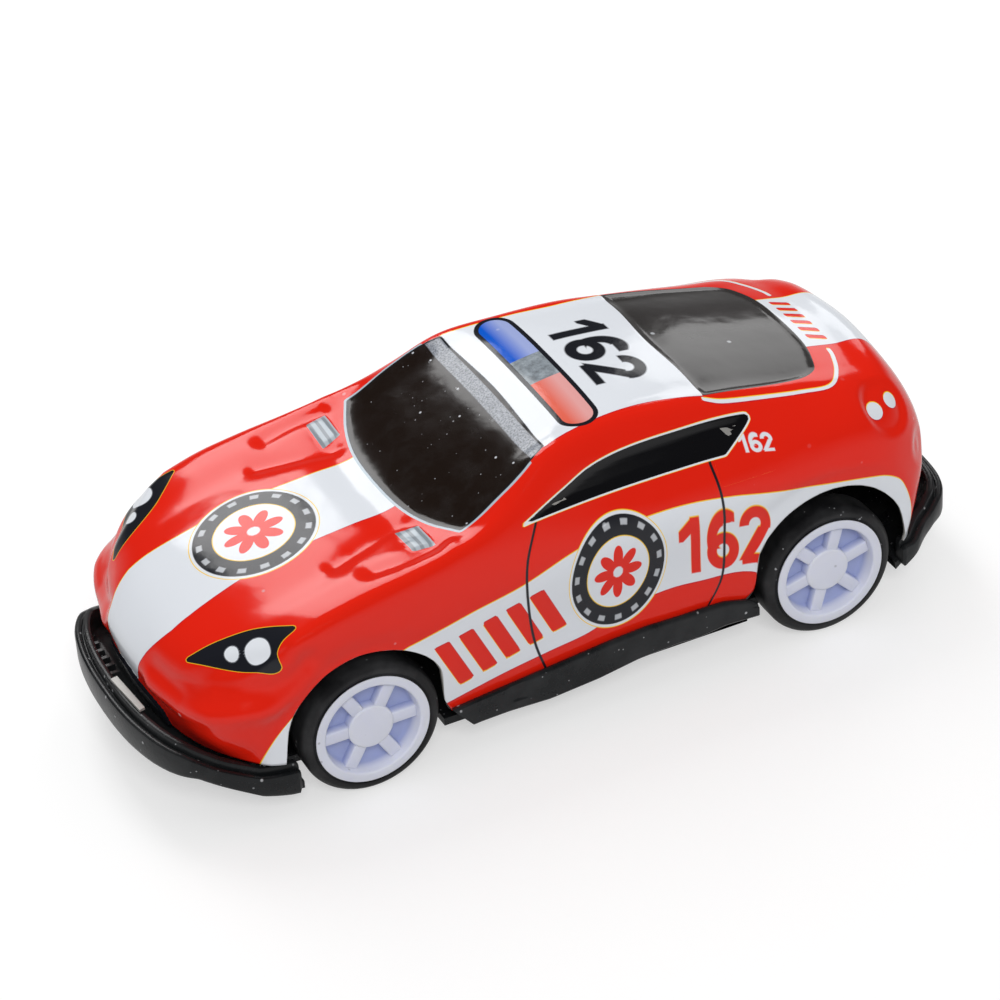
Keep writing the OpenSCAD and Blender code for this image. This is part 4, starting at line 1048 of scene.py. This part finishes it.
def bumper(bm, half, tops):
    line = curved([(placedX(x), placedY(y)) for x, y in half], closed=False, steps=8)
    whole = np.concatenate([line, (line * [1, -1])[::-1][1:]])
    along = np.gradient(whole, axis=0)
    along /= np.linalg.norm(along, axis=1, keepdims=True)
    inwards = np.stack([along[:, 1], -along[:, 0]], axis=1)
    if inwards[len(whole) // 2, 0] * whole[len(whole) // 2, 0] > 0:
        inwards = -inwards
    sections = []
    for p, n in zip(whole, inwards):
        foot = heightAt(chassisSettings["pan"], p[0])
        top = heightAt(tops, p[0])
        section = []
        for depth, height, base in bumperSection:
            q = p + n * depth
            section.append((q[0], q[1], height + (foot if base == "foot" else top)))
        sections.append(section)
    ends = []
    share = chassisSettings["bumperEndShare"]
    for first, second in ((0, 1), (-1, -2)):  # rounds off both ends
        section, beside = sections[first], sections[second]
        middle, out = np.mean(section, axis=0), np.array(section[0]) - beside[0]
        out *= chassisSettings["bumperEnd"] / np.linalg.norm(out)
        ends.append([tuple(middle + out + share * (np.array(p) - middle)) for p in section])
    swept(bm, [ends[0]] + sections + [ends[1]])
    return line


def floorPan(bm, frontLine, rearLine):
    s = chassisSettings
    inset, back = s["panInset"], s["panInset"] * 0.9
    shelf = s["ledgeY"] + s["ledgeWidth"]
    ahead, behind = frontX + s["wheelRoom"], rearX - s["wheelRoom"] - s["rearExtra"]
    frontSide, rearSide = frontX - s["wheelRoom"] - s["sillExtra"], rearX + s["wheelRoom"]

    def insideOf(line):
        return [(x - back, max(y - inset, 0.01)) for x, y in line]

    rear = [(max(x + 2 * back, tailX + inset), w) for x, w in insideOf(rearLine[::-1]) if x < behind]
    stations = rear + [(behind, s["innerY"]), (rearSide, s["innerY"]), (rearSide, shelf),
                       (frontSide, shelf), (frontSide, s["innerY"]),
                       (ahead, s["innerY"])] + insideOf(frontLine)
    cuts = []
    for (x0, w0), (x1, w1) in zip(stations[:-1], stations[1:]):
        steps = max(1, int(abs(x1 - x0) / s["panStep"]))
        cuts += [(x0 + (x1 - x0) * k / steps, w0 + (w1 - w0) * k / steps) for k in range(steps)]
    sections = []
    for x, w in cuts + [stations[-1]]:
        low = heightAt(s["pan"], x)
        high = low + s["panThickness"]
        sections.append([(x, -w, low), (x, w, low), (x, w, high), (x, -w, high)])
    swept(bm, sections)


def sill(bm, side):
    s = chassisSettings
    start, end = rearX + s["wheelRoom"], frontX - s["wheelRoom"] - s["sillExtra"]
    shelf, ground = s["ledgeY"] + s["ledgeWidth"], chassisLow + 0.05
    dimple = s["dimple"]
    sections = []
    for x in np.linspace(start, end, s["sillSteps"]):
        low, top = heightAt(s["sillLow"], x), heightAt(s["sillTop"], x)
        levels = {"low": low, "top": top}
        hollow = dimple["depth"] * math.exp(-((x - dimple["x"]) / dimple["width"]) ** 2)
        layer = s["layer"] if x < s["layerEnd"] else 0
        section = [(s["sillY"] - depth - hollow * ofHollow - layer * ofLayer, levels[base] + height)
                   for depth, ofHollow, ofLayer, height, base in sillSection]
        section += [(shelf, low + 1.2), (s["ledgeY"], low + 1.1), (s["ledgeY"], ground),
                    (shelf, ground), (shelf, low)]
        # The front end leans back at its foot
        slant = s["slant"] * max(0, x - end + s["slantLength"]) / s["slantLength"] / (top - low)
        sections.append([(x - slant * (top - pz), side * py, pz) for py, pz in section])
    swept(bm, sections)


def chassisMoulding():
    s = chassisSettings
    bm = bmesh.new()
    frontLine = bumper(bm, s["frontHalf"], s["frontTop"])
    rearLine = bumper(bm, s["rearHalf"], s["rearTop"])
    floorPan(bm, frontLine, rearLine)
    lugLength, lugWidth, lugY = s["lug"]
    panTop = chassisLow + s["panThickness"]
    blades = s["blades"]
    for side in (-1, 1):
        sill(bm, side)
        near, far = sorted((side * lugY, side * (lugY - lugWidth)))
        boxMesh(bm, (frontX - lugLength / 2, near, panTop - s["sunk"]),
                (frontX + lugLength / 2, far, axleZ + lugLength / 2), s["lugTaper"])
        for k in range(blades["count"] if side < 0 else 0):  # behind the nose, beside the tin tab
            y = blades["y"] - blades["pitch"] * k
            boxMesh(bm, (blades["x"][0], y - blades["half"], blades["z"][0]),
                    (blades["x"][1], y + blades["half"], blades["z"][1] - blades["drop"] * k),
                    blades["taper"])
    bossRadius, bossHeight = s["boss"]
    for x, y in screwPlaces():
        made = bmesh.ops.create_cone(bm, cap_ends=True, segments=40, radius1=bossRadius,
                                     radius2=bossRadius * s["bossTaper"], depth=bossHeight + s["sunk"])
        bmesh.ops.translate(bm, verts=made["verts"], vec=(x, y, panTop + (bossHeight - s["sunk"]) / 2))
    bmesh.ops.recalc_face_normals(bm, faces=bm.faces)
    return meshOf("chassis_moulding", bm, [blackMoulding], recalc=False)


# The two screws stand at the ends of their node's box
def screwPlaces():
    low, high = (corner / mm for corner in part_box("motor_screws"))
    headRadius = (high.y - low.y) / 2
    return [(low.x + headRadius, 0), (high.x - headRadius, 0)]


plasticDust = (0.62, 0.63, 0.65)


def blackPlastic(name, dark, dusty, roughness):
    paint = Paint(name)
    point, _ = paint.place()
    cloudy = paint.noise(point, 110, 5, 0.6)
    dust = paint.specks(point, 800, 0.10).maths("MAXIMUM", paint.specks(point, 1500, 0.07, 5.0) * 0.7)
    smear = cloudy.over(0.56, 0.3) * dusty
    colour = paint.mix(smear.maths("MAXIMUM", dust * 0.6), dark, plasticDust)
    grain = paint.noise(point, 1600, 3) * 0.5 + cloudy * 0.6
    return paint.finish(Base_Color=colour, Roughness=cloudy * 0.25 + roughness, Specular_IOR_Level=0.3,
                        Normal=paint.bump(grain, 0.00012, 0.45))


blackMoulding = blackPlastic("black_moulding", (0.008, 0.009, 0.010), 0.03, 0.16)
chassis = chassisMoulding()
smoothShade(chassis, 34)
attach(chassis, "car_body")
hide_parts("chassis")
print("chassis:", len(chassis.data.polygons), "faces")


# Wheels: drawn about Z with the rim's face at z = 0 and the car below it

wheelSettings = {
    "rim": [(8.5, -0.28), (8.55, 0), (7.15, 0), (6.75, -2.3), (0.95, -2.3), (0.95, -3.5), (7.0, -3.5),
            (7.2, -5.65), (7.98, -5.65), (7.98, -0.28)],
    "rimRounding": [0.1, 0.22, 0.28, 0.5, 0, 0, 0.3, 0.1, 0.1, 0.02],
    "disc": [(0, -2.6), (3.5, -2.6), (3.4, -0.7), (0, -0.7)], "discRounding": [0, 0, 0.35, 0],
    "boss": [(0.95, -3.3), (2.2, -3.3), (2.15, -6.05), (0.95, -6.05)],
    "spoke": {"from": 2.9, "to": 6.95, "width": 1.9, "flare": 0.12, "low": -2.5, "top": -0.95,
              "bevel": 0.22},
    "spokes": 6,
    "tyre": [(8.02, -0.32), (8.02, -5.6), (8.5, -5.65), (9.5, -5.65), (10.4, -4.9), (10.4, -1.0),
             (9.6, -0.25), (8.95, -0.22), (8.75, -0.4), (8.55, -0.4)],
    "tyreRounding": [0, 0.2, 0.2, 0.5, 0.6, 0.6, 0.5, 0.15, 0.1, 0.1],
}


def spokeTool(material):
    tree = bpy.data.node_groups.new("ring_of_copies", "GeometryNodeTree")
    tree.interface.new_socket("Piece", in_out="INPUT", socket_type="NodeSocketGeometry")
    count = tree.interface.new_socket("Count", in_out="INPUT", socket_type="NodeSocketInt")
    tree.interface.new_socket("Ring", in_out="OUTPUT", socket_type="NodeSocketGeometry")
    nodes, links = tree.nodes, tree.links
    start, end = nodes.new("NodeGroupInput"), nodes.new("NodeGroupOutput")
    points = nodes.new("GeometryNodePoints")
    index = nodes.new("GeometryNodeInputIndex")
    step = nodes.new("ShaderNodeMath")
    step.operation = "DIVIDE"
    step.inputs[0].default_value = 2 * math.pi
    turn = nodes.new("ShaderNodeMath")
    turn.operation = "MULTIPLY"
    joined = nodes.new("ShaderNodeCombineXYZ")
    copies = nodes.new("GeometryNodeInstanceOnPoints")
    real = nodes.new("GeometryNodeRealizeInstances")
    paintNode = nodes.new("GeometryNodeSetMaterial")
    paintNode.inputs["Material"].default_value = material
    for a, b in ((start.outputs["Count"], points.inputs["Count"]),
                 (start.outputs["Count"], step.inputs[1]), (index.outputs[0], turn.inputs[0]),
                 (step.outputs[0], turn.inputs[1]), (turn.outputs[0], joined.inputs["Z"]),
                 (joined.outputs[0], copies.inputs["Rotation"]),
                 (points.outputs[0], copies.inputs["Points"]),
                 (start.outputs["Piece"], copies.inputs["Instance"]),
                 (copies.outputs[0], real.inputs[0]), (real.outputs[0], paintNode.inputs["Geometry"]),
                 (paintNode.outputs[0], end.inputs[0])):
        links.new(a, b)
    return tree, count.identifier


def bevelled(bm, width, segments=3, sharpFrom=0.6):
    edges = [e for e in bm.edges if len(e.link_faces) == 2 and e.calc_face_angle(0) > sharpFrom]
    bmesh.ops.bevel(bm, geom=edges, offset=width, segments=segments, affect="EDGES", profile=0.5)


def spokeRing(material):
    spoke = wheelSettings["spoke"]
    footHalf = spoke["width"] / 2 + spoke["flare"]
    bm = bmesh.new()
    boxMesh(bm, (spoke["from"], -footHalf, spoke["low"]), (spoke["to"], footHalf, spoke["top"]))
    for vert in bm.verts:
        if vert.co.z > (spoke["low"] + spoke["top"]) / 2:
            vert.co.y *= spoke["width"] / (spoke["width"] + 2 * spoke["flare"])
    bmesh.ops.recalc_face_normals(bm, faces=bm.faces)
    bevelled(bm, spoke["bevel"])
    ring = meshOf("spokes", bm, [material])
    tree, countSocket = spokeTool(material)
    copies = ring.modifiers.new("ring", "NODES")
    copies.node_group = tree
    copies[countSocket] = wheelSettings["spokes"]
    return madePlain(ring)


# One wheel part set in its place: out along the axle, with its own turn
def onAxle(mesh, name, axleX, side, turn=0):
    tilt = Matrix.Rotation(math.radians(-90 * side), 4, "X")
    place = Matrix.Translation((axleX * mm, side * hubFaceY * mm, axleZ * mm))
    copy = mesh.copy()
    copy.transform(place @ tilt @ Matrix.Rotation(math.radians(turn), 4, "Z"))
    made = bpy.data.objects.new(name, copy)
    bpy.context.scene.collection.objects.link(made)
    return made


def rimMesh(material):
    w = wheelSettings
    bm = bmesh.new()
    revolved(bm, rounded(w["rim"], w["rimRounding"]))
    revolved(bm, rounded(w["disc"], w["discRounding"]), 64)
    revolved(bm, rounded(w["boss"], 0.1), 64)
    rim = meshOf("rim", bm, [material])
    spokes = spokeRing(material)
    joined = bmesh.new()
    joined.from_mesh(rim.data)
    joined.from_mesh(spokes.data)
    joined.to_mesh(rim.data)
    joined.free()
    bpy.data.objects.remove(spokes)
    smoothShade(rim, 35)
    mesh = rim.data
    bpy.data.objects.remove(rim)
    return mesh


def tyreMesh(material):
    bm = bmesh.new()
    revolved(bm, rounded(wheelSettings["tyre"], wheelSettings["tyreRounding"]), 128)
    tyre = meshOf("tyre", bm, [material])
    smoothShade(tyre, 50)
    mesh = tyre.data
    bpy.data.objects.remove(tyre)
    return mesh


# The darker blue is shade painted into the pockets behind the hub's face, and where that shade starts and
# ends
hubLook = {"pale": (0.70, 0.72, 0.84), "paler": (0.78, 0.80, 0.90), "paintedRecessShade": (0.36, 0.41, 0.66),
           "shadeDepthFrom": 1.5, "shadeRadius": 6.9, "dust": (0.2, 0.2, 0.22), "roughness": 0.38}


def whitePlastic():
    paint = Paint("white_plastic")
    point, (x, y, z) = paint.place()
    cloudy = paint.noise(point, 140, 4, 0.6)
    dust = paint.specks(point, 700, 0.05)
    colour = paint.mix(cloudy, hubLook["pale"], hubLook["paler"])
    depth = y.size() * -1 + hubFaceY
    spans = [(x - middle) * (x - middle) + (z - axleZ) * (z - axleZ) for middle in (frontX, rearX)]
    radius = spans[0].maths("MINIMUM", spans[1]).maths("SQRT")  # from the nearer axle
    # Painted shade: the pockets deeper than the hub's face and inside the rim are tinted darker blue,
    # standing in for the shade that falls there
    pocketShadeMask = depth.over(hubLook["shadeDepthFrom"], 1.4) * radius.under(hubLook["shadeRadius"], 0.3)
    colour = paint.mix(pocketShadeMask, colour, hubLook["paintedRecessShade"])
    colour = paint.mix(dust * 0.5, colour, hubLook["dust"])
    return paint.finish(Base_Color=colour, Roughness=cloudy * 0.15 + hubLook["roughness"],
                        Specular_IOR_Level=0.4, Subsurface_Weight=0.15, Subsurface_Scale=0.001,
                        Subsurface_Radius=(0.6, 0.6, 1.0), Normal=paint.bump(cloudy, 0.0001, 0.3))


hubWhite = whitePlastic()
rubber = blackPlastic("rubber", (0.009, 0.009, 0.010), 0.05, 0.36)
rim, tyre = rimMesh(hubWhite), tyreMesh(rubber)
wheels = [("front", frontX, "front_wheels", 0), ("rear", rearX, "rear_wheels", 14)]
for end, axleX, rides, turn in wheels:
    for sideName, side in (("left", 1), ("right", -1)):
        for kind, mesh, slot in (("hub", rim, "hub_white"), ("tyre", tyre, "tyre_black")):
            node = end + "_" + sideName + "_" + kind
            piece = onAxle(mesh, node + "_form", axleX, side, turn)
            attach(piece, rides)
            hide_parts(node)
print("wheels:", len(rim.polygons), "and", len(tyre.polygons), "faces")


# Axles and motor: the CAD pieces, in finishes of their own

rustStain, oldGrease = (0.30, 0.27, 0.24), (0.22, 0.19, 0.13)


def steelWire(name, shade, roughness):
    paint = Paint(name)
    point, _ = paint.place()
    stretched = paint.node("VectorMath", {"operation": "MULTIPLY"}, point, (1.0, 0.08, 1.0))
    drawn = paint.noise(stretched, 2400, 3)
    stains = paint.noise(point, 260, 4, 0.6).over(0.55, 0.3)
    colour = paint.mix(stains * 0.5, shade, rustStain)
    return paint.finish(Base_Color=colour, Metallic=1.0, Roughness=drawn * 0.15 + roughness,
                        Normal=paint.bump(drawn, 0.00003, 0.4))


def paleMoulding(name, shade, dirt, roughness):
    paint = Paint(name)
    point, _ = paint.place()
    cloudy = paint.noise(point, 200, 5, 0.6)
    grease = paint.noise(point, 420, 3).over(0.6, 0.2) * dirt
    colour = paint.mix(grease, shade, oldGrease)
    return paint.finish(Base_Color=colour, Roughness=cloudy * 0.2 + roughness, Specular_IOR_Level=0.45,
                        Normal=paint.bump(cloudy, 0.0001, 0.35))


finishes = [
    (steelWire("axle_steel", (0.60, 0.60, 0.61), 0.22),
     ["front_axle", "rear_axle", "compound_pin", "spring_pin"]),
    (steelWire("screw_zinc", (0.66, 0.64, 0.58), 0.3), ["motor_screws"]),
    (steelWire("spring_blue_steel", (0.20, 0.22, 0.27), 0.25), ["mainspring"]),
    (paleMoulding("motor_case_cream", (0.66, 0.62, 0.50), 0.25, 0.42),
     ["motor_case_left", "motor_case_right"]),
    (paleMoulding("gear_white", (0.78, 0.76, 0.68), 0.5, 0.3),
     ["axle_gear", "compound_gear", "spring_gear"]),
]
for material, names in finishes:
    for name in names:
        shown = frame["nodes"][name].data
        shown.materials.clear()
        shown.materials.append(material)


# Floor, light and camera

stageSettings = {"floor": 6.0, "camera": (0.1834, 0.4124, 0.3320),
                 "target": (-0.00575, -0.0167, 0.0104),
                 "roll": -4.06, "lens": 138.0, "shift": (0.0026, -0.0009),
                 "fill": 0.46, "horizon": 0.5, "ceiling": 0.04, "gradeTop": 0.3,
                 "sun": 1.3, "sunAngle": 24, "sunFrom": (0.3, 1.05, 1),
                 "floorTone": (0.55, 0.55, 0.55, 1), "floorSeen": 0.5, "floorMirrored": 0.2}
softboxes = {
    "hood_light": {"centre": (0.035, 0, 0.03), "direction": (-0.04, -0.66, 0.74), "distance": 0.5,
                   "width": 0.17, "height": 0.36, "radiance": 4.8},
    "deck_light": {"centre": (-0.045, 0, 0.035), "direction": (-0.6, -0.66, 0.45), "distance": 0.5,
                   "width": 0.16, "height": 0.16, "radiance": 2.5},
}


def cameraMatrix():
    place, target = Vector(stageSettings["camera"]), Vector(stageSettings["target"])
    ahead = (target - place).normalized()
    right = ahead.cross(Vector((0, 0, 1))).normalized()
    above = right.cross(ahead)
    roll = math.radians(stageSettings["roll"])
    right, above = (right * math.cos(roll) + above * math.sin(roll),
                    above * math.cos(roll) - right * math.sin(roll))
    turn = Matrix((right, above, -ahead)).transposed().to_4x4()
    return Matrix.Translation(place) @ turn


camera = bpy.data.objects.new("camera", bpy.data.cameras.new("camera"))
camera.data.lens = stageSettings["lens"]
camera.data.shift_x, camera.data.shift_y = stageSettings["shift"]
camera.data.clip_start = 0.01
camera.matrix_world = cameraMatrix()
bpy.context.scene.collection.objects.link(camera)
bpy.context.scene.camera = camera


def softbox(name, centre, direction, distance, width, height, radiance):
    light = bpy.data.lights.new(name, "AREA")
    light.shape = "RECTANGLE"
    light.size, light.size_y = width, height
    light.energy = math.pi * width * height * radiance
    made = bpy.data.objects.new(name, light)
    aim = Vector(direction).normalized()
    turn = aim.to_track_quat("Z", "Y").to_matrix().to_4x4()
    made.matrix_world = Matrix.Translation(Vector(centre) + aim * distance) @ turn
    bpy.context.scene.collection.objects.link(made)


for name, settings in softboxes.items():
    softbox(name, **settings)

sun = bpy.data.lights.new("key_light", "SUN")
sun.energy = stageSettings["sun"]
sun.angle = math.radians(stageSettings["sunAngle"])
keyLight = bpy.data.objects.new("key_light", sun)
keyLight.matrix_world = Vector(stageSettings["sunFrom"]).to_track_quat("Z", "Y").to_matrix().to_4x4()
keyLight.visible_glossy = False
bpy.context.scene.collection.objects.link(keyLight)


# White behind the object; what glossy surfaces see darkens above the horizon
def studioWorld():
    world = bpy.data.worlds.new("studio")
    world.use_nodes = True
    bpy.context.scene.world = world
    nodes, links = world.node_tree.nodes, world.node_tree.links

    # Values and links by the socket's number; None leaves a socket alone
    def made(kind, *inputs, **settings):
        node = nodes.new("ShaderNode" + kind)
        for key, value in settings.items():
            setattr(node, key, value)
        for index, value in enumerate(inputs):
            if isinstance(value, bpy.types.NodeSocket):
                links.new(value, node.inputs[index])
            elif value is not None:
                node.inputs[index].default_value = value
        return node

    s = stageSettings
    path = made("LightPath")
    height = made("SeparateXYZ", made("TexCoord").outputs["Generated"]).outputs["Z"]
    grade = made("MapRange", height, 0.0, s["gradeTop"], s["horizon"], s["ceiling"], clamp=True)
    lit = made("Mix", path.outputs["Is Glossy Ray"], None, s["fill"], grade.outputs[0])
    level = made("Mix", path.outputs["Is Camera Ray"], None, lit.outputs[0], 1.0)
    background = nodes["Background"]
    background.inputs["Color"].default_value = (1, 1, 1, 1)
    links.new(level.outputs[0], background.inputs["Strength"])


studioWorld()

floor = bpy.data.meshes.new("floor")
reach = stageSettings["floor"]
corners = [(-reach, -reach, 0), (reach, -reach, 0), (reach, reach, 0), (-reach, reach, 0)]
floor.from_pydata(corners, [], [(0, 1, 2, 3)])
floorPiece = bpy.data.objects.new("floor", floor)
bpy.context.scene.collection.objects.link(floorPiece)
floorPaint = Paint("floor")
seen, mirrored = (floorPaint.node("LightPath", {}, result=k)
                  for k in ("Is Camera Ray", "Is Glossy Ray"))
glow = seen * stageSettings["floorSeen"] + mirrored * stageSettings["floorMirrored"]
floor.materials.append(floorPaint.finish(Base_Color=stageSettings["floorTone"], Roughness=1.0,
                                         Emission_Color=glow, Emission_Strength=1.0))

bpy.context.scene.view_settings.view_transform = "Standard"
bpy.context.view_layer.update()
